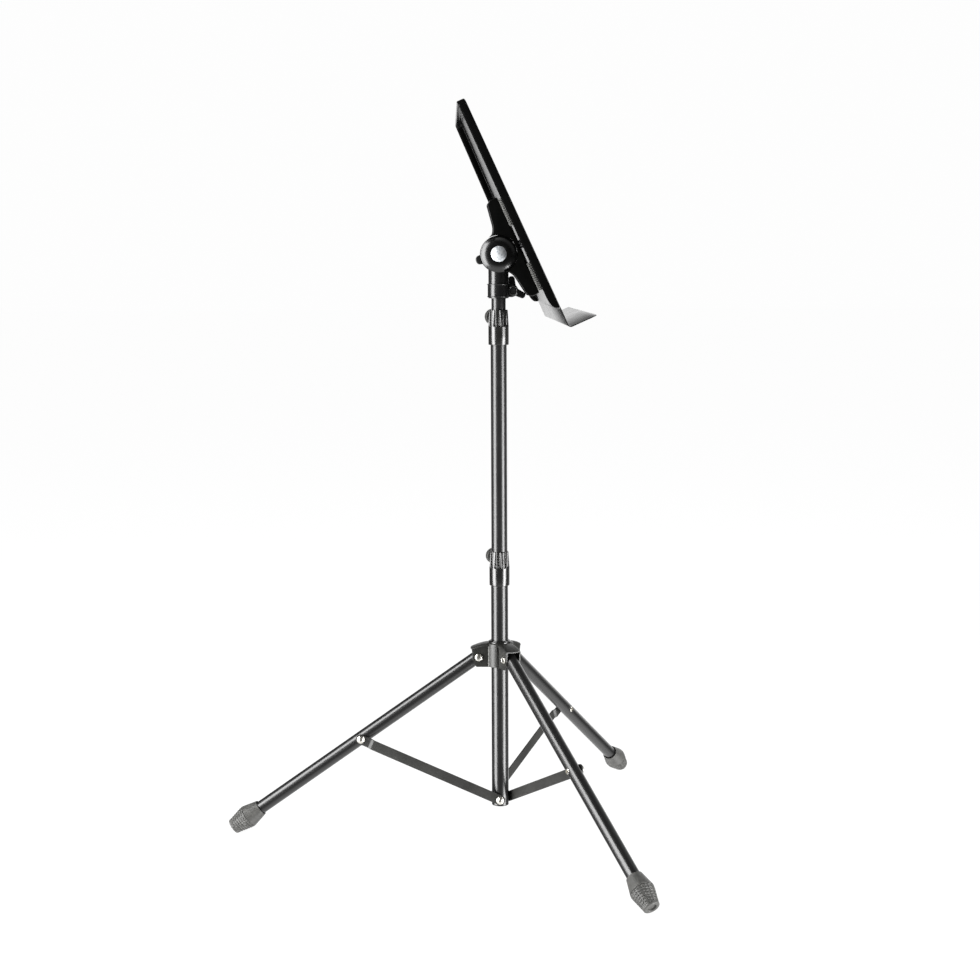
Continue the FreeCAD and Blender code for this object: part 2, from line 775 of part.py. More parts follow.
def neck():
    """Socket for the upper tube with the tilt joint's knuckle across its top."""
    body = new_body("neck")
    turn(body, [("0", "neck_bottom"), ("neck_r", "neck_bottom"), ("neck_r", "neck_top"), ("0", "neck_top")])
    knuckle = new_sketch(body, "YZ_Plane")
    draw_circle(knuckle, "0", "boss_z", "knuckle_r")
    pad(body, knuckle, "2 * knuckle_half", both_sides=True)
    bore = new_sketch(body, "XY_Plane", "neck_bottom")
    draw_circle(bore, "0", "0", "upper_r + run_gap")
    cut(body, bore, "neck_bore_top - neck_bottom", backward=True)
    slot = new_sketch(body, "XZ_Plane")
    half = "slit / 2"
    below = "neck_bottom - overrun"
    draw_outline(slot, both_halves([(half, below), (half, "slit_top")]))
    cut(body, slot, "neck_r + overrun", backward=True)
    pin = new_sketch(body, "YZ_Plane")
    draw_circle(pin, "0", "boss_z", "bolt_r + run_gap")
    cut(body, pin, "2 * (knuckle_half + overrun)", both_sides=True)
    keep(body)


def neck_clamp():
    """Band with two rims and a pair of ears, squeezed by the clamp bolt, whose head sits in a
    ring on the left ear."""
    body = new_body("neck_clamp")
    low = "rim_low + rim_thick"
    high = "rim_high - rim_thick"
    turn(body, [("0", "rim_low"), ("rim_r", "rim_low"), ("rim_r", low), ("band_r", low), ("band_r", high),
                ("rim_r", high), ("rim_r", "rim_high"), ("0", "rim_high")])
    ears = new_sketch(body, "YZ_Plane")
    nose = "(rim_high - rim_low) / 2 - ear_reach"
    draw_outline(ears, [("-ear_root", "rim_low"), ("-ear_root", "rim_high"), (nose, "rim_high"),
                        (nose, "rim_low", nose)])
    pad(body, ears, "2 * ear_half", both_sides=True)
    ring = new_sketch(body, "YZ_Plane")
    draw_circle(ring, "-clamp_bolt_y", "clamp_bolt_z", "clamp_boss_r")
    pad(body, ring, "ear_half + clamp_boss", backward=True)
    full_height = "rim_high - rim_low + 2 * overrun"
    bore = new_sketch(body, "XY_Plane", "rim_low - overrun")
    draw_circle(bore, "0", "0", "neck_r + seat_gap")
    cut(body, bore, full_height, backward=True)
    gap = new_sketch(body, "XY_Plane", "rim_low - overrun")
    front = "-ear_reach - overrun"
    draw_outline(gap, both_halves([("slit / 2", front), ("slit / 2", "0")]))
    cut(body, gap, full_height, backward=True)
    recess = new_sketch(body, "YZ_Plane", "-ear_half")
    draw_circle(recess, "-clamp_bolt_y", "clamp_bolt_z", "clamp_recess_r")
    cut(body, recess, "clamp_boss + overrun")
    hole = new_sketch(body, "YZ_Plane")
    draw_circle(hole, "-clamp_bolt_y", "clamp_bolt_z", "clamp_bolt_r + seat_gap")
    cut(body, hole, "2 * (ear_half + overrun)", both_sides=True)
    keep(body)


def clamp_parts():
    """Bolt across the ears and the star knob that tightens it, on the right."""
    where = FreeCAD.Vector(0, -value("clamp_bolt_y"), value("clamp_bolt_z"))
    towards_right = turned_by(Y, 90)
    bolt = new_body("neck_clamp_bolt")
    head = new_sketch(bolt, "XY_Plane", "-ear_half - clamp_hex_len")
    draw_outline(head, hexagon("clamp_hex"))
    pad(bolt, head, "clamp_hex_len")
    shank = new_sketch(bolt, "XY_Plane", "-ear_half")
    draw_circle(shank, "0", "0", "clamp_bolt_r")
    pad(bolt, shank, "ear_half + clamp_star_arm + grip_cover")
    keep(put(bolt, where, towards_right))
    knob = star("neck_clamp_knob", "clamp_star", "ear_half + free_gap", "clamp_bolt_r + run_gap",
                "clamp_star_arm + grip_cover + overrun")
    keep(put(knob, where, towards_right * turned_by(Z, 180 - value("clamp_star_turn"))))


neck()
neck_clamp()
clamp_parts()


# ---------------------------------------------------------------- tilt joint

def place_on_desk(piece, where=FreeCAD.Vector(), extra=FreeCAD.Rotation()):
    """Place a piece that is drawn in the desk's frame."""
    frame = FreeCAD.Placement(FreeCAD.Vector(0, 0, value("boss_z")), turned_by(X, 90 - value("desk_lean")))
    piece.Placement = frame * FreeCAD.Placement(where, extra)
    return piece


def on_desk(piece, extra=FreeCAD.Rotation()):
    return keep(place_on_desk(piece, extra=extra))


def friction_washers():
    pair = []
    for side in (-1, 1):
        washer = new_body("friction_washer_" + ("left" if side < 0 else "right"))
        end = "knuckle_half + washer_thick"
        turn(washer, [("bolt_r + run_gap", "knuckle_half"), ("washer_r", "knuckle_half"),
                      ("washer_r", end), ("bolt_r + run_gap", end)])
        pair.append(put(washer, FreeCAD.Vector(0, 0, value("boss_z")), turned_by(Y, 90 * side)))
    group("tilt_friction_washers", pair)


def bracket():
    """Channel with two round cheeks, drawn in the desk's frame."""
    body = new_body("bracket")
    side = new_sketch(body, "YZ_Plane")
    rise = [("-plate_start", "plate_seat"), ("-plate_start", "bracket_face"),
            ("plate_start", "bracket_face"), ("plate_start", "plate_seat")]
    upper = [("bracket_reach", "plate_seat"), ("bracket_reach + bracket_nose", "bracket_nose_z"),
             ("bracket_reach - bracket_heel", "bracket_heel_z"), ("bracket_bend", "bracket_bend_z"),
             ("bracket_root", "bracket_root_z"), ("disc_r - seat_gap", "bracket_join_z")]
    lower = [("-(%s)" % x, y) for x, y in reversed(upper)]
    draw_outline(side, rise + upper + lower)
    pad(body, side, "2 * cheek_out", both_sides=True)
    disc = new_sketch(body, "YZ_Plane")
    draw_circle(disc, "0", "0", "disc_r")
    pad(body, disc, "2 * disc_out", both_sides=True)
    rim = lambda edge: (edge.Curve.TypeId == "Part::GeomCircle"
                        and abs(abs(edge.CenterOfMass.x) - value("disc_out")) < value("seat_gap"))
    round_edges(body, value("disc_edge"), rim)
    ends = lambda edge: (runs_along(edge, X)
                         and abs(edge.CenterOfMass.y) > value("bracket_reach - 2 * bracket_heel")
                         and edge.CenterOfMass.z < value("bracket_nose_z + overrun"))
    round_edges(body, value("bracket_corner"), ends)
    channel = new_sketch(body, "YZ_Plane")
    far = "bracket_reach + 2 * bracket_heel"
    back = "-disc_r - overrun"
    draw_outline(channel, both_halves([(far, back), (far, "web_back")]))
    cut(body, channel, "2 * cheek_in", both_sides=True)
    through = "disc_out - cheek_in + 2 * overrun"
    square = new_sketch(body, "YZ_Plane", "-disc_out - overrun")
    half = "bolt_square / 2 + seat_gap"
    draw_outline(square, both_halves([(half, "-(%s)" % half), (half, half)]))
    cut(body, square, through, backward=True)
    plain = new_sketch(body, "YZ_Plane", "cheek_in - overrun")
    draw_circle(plain, "0", "0", "bolt_r + seat_gap")
    cut(body, plain, through, backward=True)
    holes = new_sketch(body, "XY_Plane", "web_back - overrun")
    for along in ("-screw_pitch", "0", "screw_pitch"):
        draw_circle(holes, "0", along, "desk_screw_r + seat_gap")
    cut(body, holes, "bracket_face - web_back + 2 * overrun", backward=True)
    on_desk(body)


def tilt_bolt():
    """Carriage bolt: domed head outside the left cheek, square neck in it, thread to the right."""
    body = new_body("tilt_bolt")
    turn(body, [("0", "-bolt_end"), ("bolt_r", "-bolt_end"), ("bolt_r", "disc_out")]
         + dome("bolt_head_r", "disc_out", "bolt_dome"))
    neck_square = new_sketch(body, "XY_Plane", "cheek_in")
    half = "bolt_square / 2"
    draw_outline(neck_square, both_halves([(half, "-" + half), (half, half)]))
    pad(body, neck_square, "disc_out - cheek_in")
    on_desk(body, extra=turned_by(Y, -90))


def tilt_washer():
    body = new_body("tilt_steel_washer")
    end = "disc_out + steel_washer"
    turn(body, [("bolt_r + seat_gap", "disc_out"), ("steel_washer_r", "disc_out"),
                ("steel_washer_r", end), ("bolt_r + seat_gap", end)])
    on_desk(body, extra=turned_by(Y, 90))


def tilt_knob():
    knob = star("tilt_knob", "tilt_star", "disc_out + steel_washer + free_gap", "bolt_r + run_gap",
                "bolt_end + overrun")
    turned = turned_by(Y, 90) * turned_by(Z, value("tilt_star_turn"))
    keep(put(knob, FreeCAD.Vector(0, 0, value("boss_z")), turned))


def countersink(body, along):
    """The conical seat of a desk screw's head, in a body that has the screw's hole. The seat
    starts at the desk's front face, so it takes only what of the cone lies in the body."""
    before = body.Shape.Volume
    seat = new_sketch(body, "YZ_Plane")
    apex = "desk_front - desk_head_r - seat_gap"
    draw_outline(seat, [(along, apex), ("(%s) + desk_head_r + seat_gap" % along, "desk_front"),
                        (along, "desk_front")])
    feature = body.newObject("PartDesign::Groove", "groove")
    feature.Profile = seat
    axis = seat.addGeometry(Part.LineSegment(FreeCAD.Vector(value(along), value(apex), 0),
                                             FreeCAD.Vector(value(along), value("desk_front"), 0)), True)
    hold(seat, axis, 1, "DistanceX", along)
    hold(seat, axis, 1, "DistanceY", apex)
    hold(seat, axis, 2, "DistanceX", along)
    hold(seat, axis, 2, "DistanceY", "desk_front")
    feature.ReferenceAxis = (seat, ["Axis0"])
    feature.Angle = 360
    doc.recompute()
    if not body.Shape.Volume < before:
        raise RuntimeError("a countersink of %s cuts nothing" % body.Label)


def mounting_plates():
    """Two packing plates between the bracket and the desk, and the spacer between them."""
    sheet_back = "desk_front - sheet_thick"
    for name, sign in (("upper", ""), ("lower", "-")):
        body = new_body(name + "_mounting_plate")
        sketch = new_sketch(body, "XY_Plane", "plate_seat")
        near = "%s(plate_start + plate_gap)" % sign
        far = "%s(bracket_reach - plate_gap)" % sign
        draw_outline(sketch, both_halves([("plate_half", near), ("plate_half", far)]))
        draw_circle(sketch, "0", sign + "screw_pitch", "desk_screw_r + seat_gap")
        pad(body, sketch, sheet_back + " - plate_seat")
        countersink(body, sign + "screw_pitch")
        on_desk(body)
    spacer = new_body("desk_spacer")
    bore = "desk_screw_r + seat_gap"
    cone = "desk_head_r + seat_gap - sheet_thick"
    cone_foot = "desk_front - desk_head"
    turn(spacer, [(bore, "bracket_face"), ("spacer_r", "bracket_face"), ("spacer_r", sheet_back),
                  (cone, sheet_back), (bore, cone_foot)])
    on_desk(spacer)


def desk_fasteners():
    """Countersunk screws through desk, plates and bracket; the outer two have nuts."""
    screws = []
    nuts = []
    for name, row in (("lower", -1), ("middle", 0), ("upper", 1)):
        spot = FreeCAD.Vector(0, row * value("screw_pitch"), 0)
        screw = new_body(name + "_desk_bolt")
        start = "web_back - nut_len - overrun" if row else "web_back"
        head = "desk_front - desk_head"
        turn(screw, [("0", start), ("desk_screw_r", start), ("desk_screw_r", head),
                     ("desk_head_r", "desk_front"), ("0", "desk_front")])
        screws.append(place_on_desk(screw, spot))
        if row:
            nut = new_body(name + "_desk_hexnut")
            sketch = new_sketch(nut, "XY_Plane", "web_back - nut_len")
            draw_outline(sketch, hexagon("nut_flats"))
            draw_circle(sketch, "0", "0", "desk_screw_r + seat_gap")
            pad(nut, sketch, "nut_len")
            nuts.append(place_on_desk(nut, spot))
    group("desk_screws", screws)
    group("desk_nuts", nuts)


# ---------------------------------------------------------------- desk

def desk_half_width(height):
    """Half the desk's width as a formula, at a height up its slope."""
    slope = "(desk_low_half - desk_high_half) / (desk_top - desk_bottom)"
    return "desk_low_half - %s * (%s - desk_bottom)" % (slope, height)


def desk():
    """Folded sheet: a panel that narrows upwards, flanges folded back at its sides and top,
    and a shelf folded forward at its foot."""
    body = new_body("desk")
    back = "desk_front - sheet_thick"
    tray = new_sketch(body, "XY_Plane", "desk_front")
    below_top = "desk_top - desk_corner"
    shoulder = desk_half_width(below_top)
    top_half = "desk_high_half - desk_corner"
    draw_outline(tray, both_halves([("desk_low_half", "desk_bottom"), (shoulder, below_top),
                                    (top_half, "desk_top")]))
    pad(body, tray, "flange_depth", backward=True)
    inner = new_sketch(body, "XY_Plane", back)
    draw_outline(inner, both_halves([("desk_low_half - sheet_thick", "desk_bottom"),
                                     (shoulder + " - sheet_thick", below_top),
                                     (top_half + " - sheet_thick / 2", "desk_top - sheet_thick")]))
    cut(body, inner, "flange_depth")
    foot_side = new_sketch(body, "YZ_Plane")
    bend_y = "shelf_y + shelf_bend"
    bend_z = "desk_front + shelf_bend"
    under = "shelf_y - sheet_thick"
    lip_z = "desk_front + shelf_depth"
    draw_outline(foot_side, [("desk_bottom", back), (bend_y, back), (under, bend_z, bend_y), (under, lip_z),
                             ("shelf_y", lip_z), ("shelf_y", bend_z), (bend_y, "desk_front", bend_y),
                             ("desk_bottom", "desk_front")])
    pad(body, foot_side, "2 * desk_low_half", both_sides=True)
    lip = lambda edge: (runs_along(edge, Y) and edge.Length < value("2 * sheet_thick")
                        and edge.CenterOfMass.z > value(lip_z + " - shelf_corner"))
    round_edges(body, value("shelf_corner"), lip)
    holes = new_sketch(body, "XY_Plane", "desk_front + overrun")
    rows = ("-screw_pitch", "0", "screw_pitch")
    for along in rows:
        draw_circle(holes, "0", along, "desk_screw_r + seat_gap")
    cut(body, holes, "sheet_thick + 2 * overrun")
    for along in rows:
        countersink(body, along)
    on_desk(body)


friction_washers()
bracket()
tilt_bolt()
tilt_washer()
tilt_knob()
mounting_plates()
desk_fasteners()
desk()


# ---------------------------------------------------------------- check and write

doc.recompute()
failed = [item.Label for item in doc.Objects if {"Invalid", "Error"} & set(item.State)]
if failed:
    raise RuntimeError("failed objects: " + ", ".join(failed))
for node in nodes:
    if node.Shape.isNull() or not node.Shape.isValid():
        raise RuntimeError("bad shape: " + node.Label)

os.makedirs("parts", exist_ok=True)
for node in nodes:
    node.Shape.exportStep("parts/%s.step" % node.Label)
print(len(nodes), "nodes written")
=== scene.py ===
import json
import math

import bmesh
import bpy
from mathutils import Matrix, Vector


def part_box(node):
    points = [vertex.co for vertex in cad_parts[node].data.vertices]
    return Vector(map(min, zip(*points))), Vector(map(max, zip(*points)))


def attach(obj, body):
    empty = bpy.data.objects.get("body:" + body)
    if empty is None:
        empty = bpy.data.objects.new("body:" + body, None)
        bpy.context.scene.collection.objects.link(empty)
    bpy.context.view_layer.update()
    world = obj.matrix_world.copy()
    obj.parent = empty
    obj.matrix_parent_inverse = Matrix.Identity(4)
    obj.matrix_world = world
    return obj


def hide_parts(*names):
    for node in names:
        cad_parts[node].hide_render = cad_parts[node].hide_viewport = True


# A tripod music stand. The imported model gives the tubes, rivets and fasteners, and this script
# makes the pressed, moulded and folded pieces with their real edges, and every finish.
# A piece is drawn in millimetres in a frame of its own and placed by the model's joints and boxes.

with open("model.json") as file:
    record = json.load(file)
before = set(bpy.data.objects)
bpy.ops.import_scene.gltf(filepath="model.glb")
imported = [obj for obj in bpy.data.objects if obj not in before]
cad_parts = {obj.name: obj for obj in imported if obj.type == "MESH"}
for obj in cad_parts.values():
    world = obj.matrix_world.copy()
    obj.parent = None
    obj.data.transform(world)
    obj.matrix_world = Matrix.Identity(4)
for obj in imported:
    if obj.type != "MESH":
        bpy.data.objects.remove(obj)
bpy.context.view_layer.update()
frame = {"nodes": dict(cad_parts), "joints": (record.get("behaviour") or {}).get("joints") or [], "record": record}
joints = {joint["name"]: joint for joint in frame["joints"]}

MM = 0.001
UP = Vector((0, 0, 1))
ACROSS = Vector((1, 0, 0))
AWAY = Vector((0, 1, 0))

# sizes in millimetres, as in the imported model
LEG_LEAN = math.radians(54.8)          # between a leg and the vertical
LEG_LENGTH = 465.2                     # from the leg's pivot to the foot's end
BRACE_REACH = 220.8                    # from the leg's pivot to the brace's rivet
DESK_LEAN = math.radians(24)
COLUMN_RADIUS = 12.9
SIDES = ("rear", "left", "right")


# ---------------------------------------------------------------- frames

def axes(origin, forward, across):
    """From a piece's own millimetres to the row frame: its Z runs forward and its X across."""
    z = Vector(forward).normalized()
    y = z.cross(Vector(across)).normalized()
    turned = Matrix((y.cross(z), y, z)).transposed().to_4x4()
    return Matrix.Translation(Vector(origin)) @ turned @ Matrix.Scale(MM, 4)


def joint_place(name):
    return Vector(joints[name]["pos_m"]), Vector(joints[name]["axis"]).normalized()


def leg_frame(name):
    """Z runs down the leg from its pivot, and Y along the pivot's rivet."""
    pivot, rivet = joint_place(name + "_leg_fold")
    outward = rivet.cross(UP)
    down = outward * math.sin(LEG_LEAN) - UP * math.cos(LEG_LEAN)
    return axes(pivot, down, rivet.cross(down))


def desk_frame():
    """X across the desk, Y up its slope, Z towards the reader, from the tilt axis."""
    pivot, _ = joint_place("desk_tilt")
    reader = Vector((0, -math.cos(DESK_LEAN), math.sin(DESK_LEAN)))
    return axes(pivot, reader, ACROSS)


# ---------------------------------------------------------------- outlines

def clamp(number):
    return min(1.0, max(0.0, number))


def quarter(steps):
    """Angles from nothing to a right angle, in equal steps."""
    return [math.pi / 2 * part / steps for part in range(steps + 1)]


def soften(corners, closed=True, step=12):
    """Corners are (x, y) or (x, y, radius). Each corner with a radius becomes an arc."""
    points = []
    count = len(corners)
    for index, corner in enumerate(corners):
        here = Vector(corner[:2])
        end = not closed and index in (0, count - 1)
        if len(corner) == 2 or end:
            points.append(here)
            continue
        before = (Vector(corners[index - 1][:2]) - here).normalized()
        after = (Vector(corners[(index + 1) % count][:2]) - here).normalized()
        half = before.angle(after) / 2
        start = here + before * corner[2] / math.tan(half)
        centre = here + (before + after).normalized() * corner[2] / math.sin(half)
        sweep = (start - centre).angle_signed(here + after * corner[2] / math.tan(half) - centre)
        pieces = max(2, math.ceil(abs(math.degrees(sweep)) / step))
        for part in range(pieces + 1):
            spoke = (start - centre).copy()
            spoke.rotate(Matrix.Rotation(-sweep * part / pieces, 2))
            points.append(centre + spoke)
    return points


def inset(outline, distance):
    """The outline moved inwards along the bisector of each corner. It runs anticlockwise."""
    moved = []
    for index, here in enumerate(outline):
        before = (here - outline[index - 1]).normalized()
        after = (outline[(index + 1) % len(outline)] - here).normalized()
        left = Vector((-before.y - after.y, before.x + after.x)).normalized()
        share = max(0.3, left.dot(Vector((-before.y, before.x))))
        moved.append(here + left * distance / share)
    return moved


# ---------------------------------------------------------------- meshes

def piece(name, points, faces, where, sharp=32):
    """A new object from millimetre points, smooth except at its sharp edges."""
    mesh = bpy.data.meshes.new(name)
    mesh.from_pydata([where @ Vector(point) for point in points], [], faces)
    mesh.validate()
    mesh.polygons.foreach_set("use_smooth", [True] * len(mesh.polygons))
    mesh.set_sharp_from_angle(angle=math.radians(sharp))
    made = bpy.data.objects.new(name, mesh)
    bpy.context.scene.collection.objects.link(made)
    return made


def skin(rings, looped=False, capped=True):
    """Faces between closed rings of equal length, with flat caps or joined end to end."""
    size = len(rings[0])
    points = [point for ring in rings for point in ring]
    faces = []
    for row in range(len(rings) if looped else len(rings) - 1):
        low, high = row * size, (row + 1) % len(rings) * size
        for index in range(size):
            following = (index + 1) % size
            faces.append((low + index, low + following, high + following, high + index))
    if capped and not looped:
        faces.append(tuple(reversed(range(size))))
        faces.append(tuple(range(len(points) - size, len(points))))
    return points, faces


def lathed(name, profile, count, where, sharp=32, shape=None):
    """A turned piece, from a closed outline of (radius, height) and the number of points in a
    round. shape(angle, radius, height) may change a radius."""
    rings = []
    for radius, height in profile:
        ring = []
        for index in range(count):
            angle = 2 * math.pi * index / count
            reach = shape(angle, radius, height) if shape else radius
            ring.append((reach * math.cos(angle), reach * math.sin(angle), height))
        rings.append(ring)
    return piece(name, *skin(rings, looped=True), where, sharp)


def slab(outline, low, high, edge, steps=4):
    """Rings of a plate between two heights, its two rims rounded by edge."""
    rings = []
    for start, inward, angles in ((low, 1, quarter(steps)), (high, -1, reversed(quarter(steps)))):
        for turned in angles:
            ring = inset(outline, edge * (1 - math.sin(turned)))
            height = start + inward * edge * (1 - math.cos(turned))
            rings.append([(point.x, point.y, height) for point in ring])
    return rings


def combine(base, other, operation):
    """Boolean of two closed pieces, which keeps each one's own material."""
    change = base.modifiers.new("combine", "BOOLEAN")
    change.operation = operation
    change.solver = "EXACT"
    change.material_mode = "TRANSFER"
    change.object = other
    settle(base)
    bpy.data.objects.remove(other)
    return base


def join(name, parts):
    """One piece of several, which keeps each face's material number."""
    mesh = bpy.data.meshes.new(name)
    gathered = bmesh.new()
    for part in parts:
        gathered.from_mesh(part.data)
        bpy.data.objects.remove(part)
    gathered.to_mesh(mesh)
    gathered.free()
    made = bpy.data.objects.new(name, mesh)
    bpy.context.scene.collection.objects.link(made)
    return made


def settle(made):
    """Apply the piece's modifiers."""
    graph = bpy.context.evaluated_depsgraph_get()
    mesh = bpy.data.meshes.new_from_object(made.evaluated_get(graph))
    made.modifiers.clear()
    made.data = mesh
    return made


def crisp(made, sharp):
    """Smooth again after a boolean, except at edges sharper than sharp degrees."""
    made.data.polygons.foreach_set("use_smooth", [True] * len(made.data.polygons))
    made.data.set_sharp_from_angle(angle=math.radians(sharp))
    return made


def paint(made, material):
    made.data.materials.clear()
    made.data.materials.append(material)
    return made


def stands_for(made, body, slot, *nodes):
    """The piece rides on a body and takes the place of the model's nodes."""
    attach(made, body)
    if nodes:
        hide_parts(*nodes)
    return made


# ---------------------------------------------------------------- materials

def shader(name):
    """A new material, with its node tree, its surface shader and the piece's own coordinates."""
    material = bpy.data.materials.new(name)
    material.use_nodes = True
    tree = material.node_tree
    surface = tree.nodes["Principled BSDF"]
    place = tree.nodes.new("ShaderNodeTexCoord").outputs["Object"]
    return material, tree, surface, place


def noise(tree, place, scale, detail, rough=0.55):
    texture = tree.nodes.new("ShaderNodeTexNoise")
    texture.inputs["Scale"].default_value = scale
    texture.inputs["Detail"].default_value = detail
    texture.inputs["Roughness"].default_value = rough
    tree.links.new(place, texture.inputs["Vector"])
    return texture.outputs["Fac"]


def stretched(tree, place, factors):
    """The coordinates scaled along each axis, for streaks."""
    mapping = tree.nodes.new("ShaderNodeMapping")
    mapping.inputs["Scale"].default_value = factors
    tree.links.new(place, mapping.inputs["Vector"])
    return mapping.outputs["Vector"]


def cells(tree, place, scale):
    texture = tree.nodes.new("ShaderNodeTexVoronoi")
    texture.inputs["Scale"].default_value = scale
    tree.links.new(place, texture.inputs["Vector"])
    return texture.outputs["Distance"]


def spread(tree, source, low, high, start=0.3, end=0.7):
    """A number that runs from low to high as its source runs from start to end."""
    ramp = tree.nodes.new("ShaderNodeMapRange")
    numbers = {"From Min": start, "From Max": end, "To Min": low, "To Max": high}
    for name, number in numbers.items():
        ramp.inputs[name].default_value = number
    tree.links.new(source, ramp.inputs["Value"])
    return ramp.outputs["Result"]


def shade(tree, source, dark, light, start=0.3, end=0.7):
    """A colour between two, by a source."""
    ramp = tree.nodes.new("ShaderNodeValToRGB")
    ramp.color_ramp.elements[0].position = start
    ramp.color_ramp.elements[0].color = (*dark, 1)
    ramp.color_ramp.elements[1].position = end
    ramp.color_ramp.elements[1].color = (*light, 1)
    tree.links.new(source, ramp.inputs["Fac"])
    return ramp.outputs["Color"]


def relief(tree, surface, sources, distance):
    """Bump from a list of (source, strength), coarse first."""
    normal = None
    for source, strength in sources:
        bump = tree.nodes.new("ShaderNodeBump")
        bump.inputs["Strength"].default_value = strength
        bump.inputs["Distance"].default_value = distance
        tree.links.new(source, bump.inputs["Height"])
        if normal:
            tree.links.new(normal, bump.inputs["Normal"])
        normal = bump.outputs["Normal"]
    tree.links.new(normal, surface.inputs["Normal"])


def coated_steel(name, dark, light, roughness, grain, strength, coat=0.0, index=1.58):
    """Black coating on steel: slow tone changes, an uneven gloss and a fine skin."""
    material, tree, surface, place = shader(name)
    tone = noise(tree, place, scale=14, detail=3)
    tree.links.new(shade(tree, tone, dark, light), surface.inputs["Base Color"])
    gloss = noise(tree, place, scale=60, detail=5)
    tree.links.new(spread(tree, gloss, roughness[0], roughness[1]), surface.inputs["Roughness"])
    skin_grain = noise(tree, place, scale=grain, detail=2)
    relief(tree, surface, [(skin_grain, strength)], distance=0.00012)
    surface.inputs["IOR"].default_value = index
    surface.inputs["Coat Weight"].default_value = coat
    surface.inputs["Coat Roughness"].default_value = 0.14
    return material


def moulded_plastic(name, dark, light, roughness, grain, strength, index=1.49):
    """Moulded plastic: flow marks in the tone, and a grained skin of small cells."""
    material, tree, surface, place = shader(name)
    tone = noise(tree, place, scale=30, detail=4)
    tree.links.new(shade(tree, tone, dark, light), surface.inputs["Base Color"])
    gloss = noise(tree, place, scale=120, detail=4)
    tree.links.new(spread(tree, gloss, roughness[0], roughness[1]), surface.inputs["Roughness"])
    pits = cells(tree, place, grain)
    fine = noise(tree, place, scale=grain * 1.7, detail=3)
    relief(tree, surface, [(pits, strength), (fine, strength * 0.6)], distance=0.0003)
    surface.inputs["IOR"].default_value = index
    return material


def moulded_rubber(name, dark, light, roughness):
    """Grey moulded rubber, mottled, with lumps and pores."""
    material, tree, surface, place = shader(name)
    mottle = noise(tree, place, scale=110, detail=6, rough=0.65)
    tree.links.new(shade(tree, mottle, dark, light), surface.inputs["Base Color"])
    gloss = noise(tree, place, scale=260, detail=4)
    tree.links.new(spread(tree, gloss, roughness[0], roughness[1]), surface.inputs["Roughness"])
    pores = noise(tree, place, scale=1500, detail=3)
    lumps = noise(tree, place, scale=300, detail=3)
    relief(tree, surface, [(lumps, 0.25), (pores, 0.3)], distance=0.0004)
    surface.inputs["Sheen Weight"].default_value = 0.08
    return material


def plated_metal(name, dark, light, roughness, streak, scale, strength, metallic=1.0):
    """Plated steel: crystals in the tone, and fine scratches along one way."""
    material, tree, surface, place = shader(name)
    tone = cells(tree, place, scale)
    tree.links.new(shade(tree, tone, dark, light, 0.1, 0.8), surface.inputs["Base Color"])
    lines = noise(tree, stretched(tree, place, streak), scale=600, detail=3)
    tree.links.new(spread(tree, lines, roughness[0], roughness[1]), surface.inputs["Roughness"])
    relief(tree, surface, [(lines, strength)], distance=0.0002)
    surface.inputs["Metallic"].default_value = metallic
    return material


def nylon(name, dark, light, roughness):
    """Pale nylon, a little cloudy."""
    material, tree, surface, place = shader(name)
    cloud = noise(tree, place, scale=90, detail=3)
    tree.links.new(shade(tree, cloud, dark, light), surface.inputs["Base Color"])
    tree.links.new(spread(tree, cloud, roughness[0], roughness[1]), surface.inputs["Roughness"])
    relief(tree, surface, [(noise(tree, place, scale=900, detail=2), 0.1)], distance=0.0002)
    return material


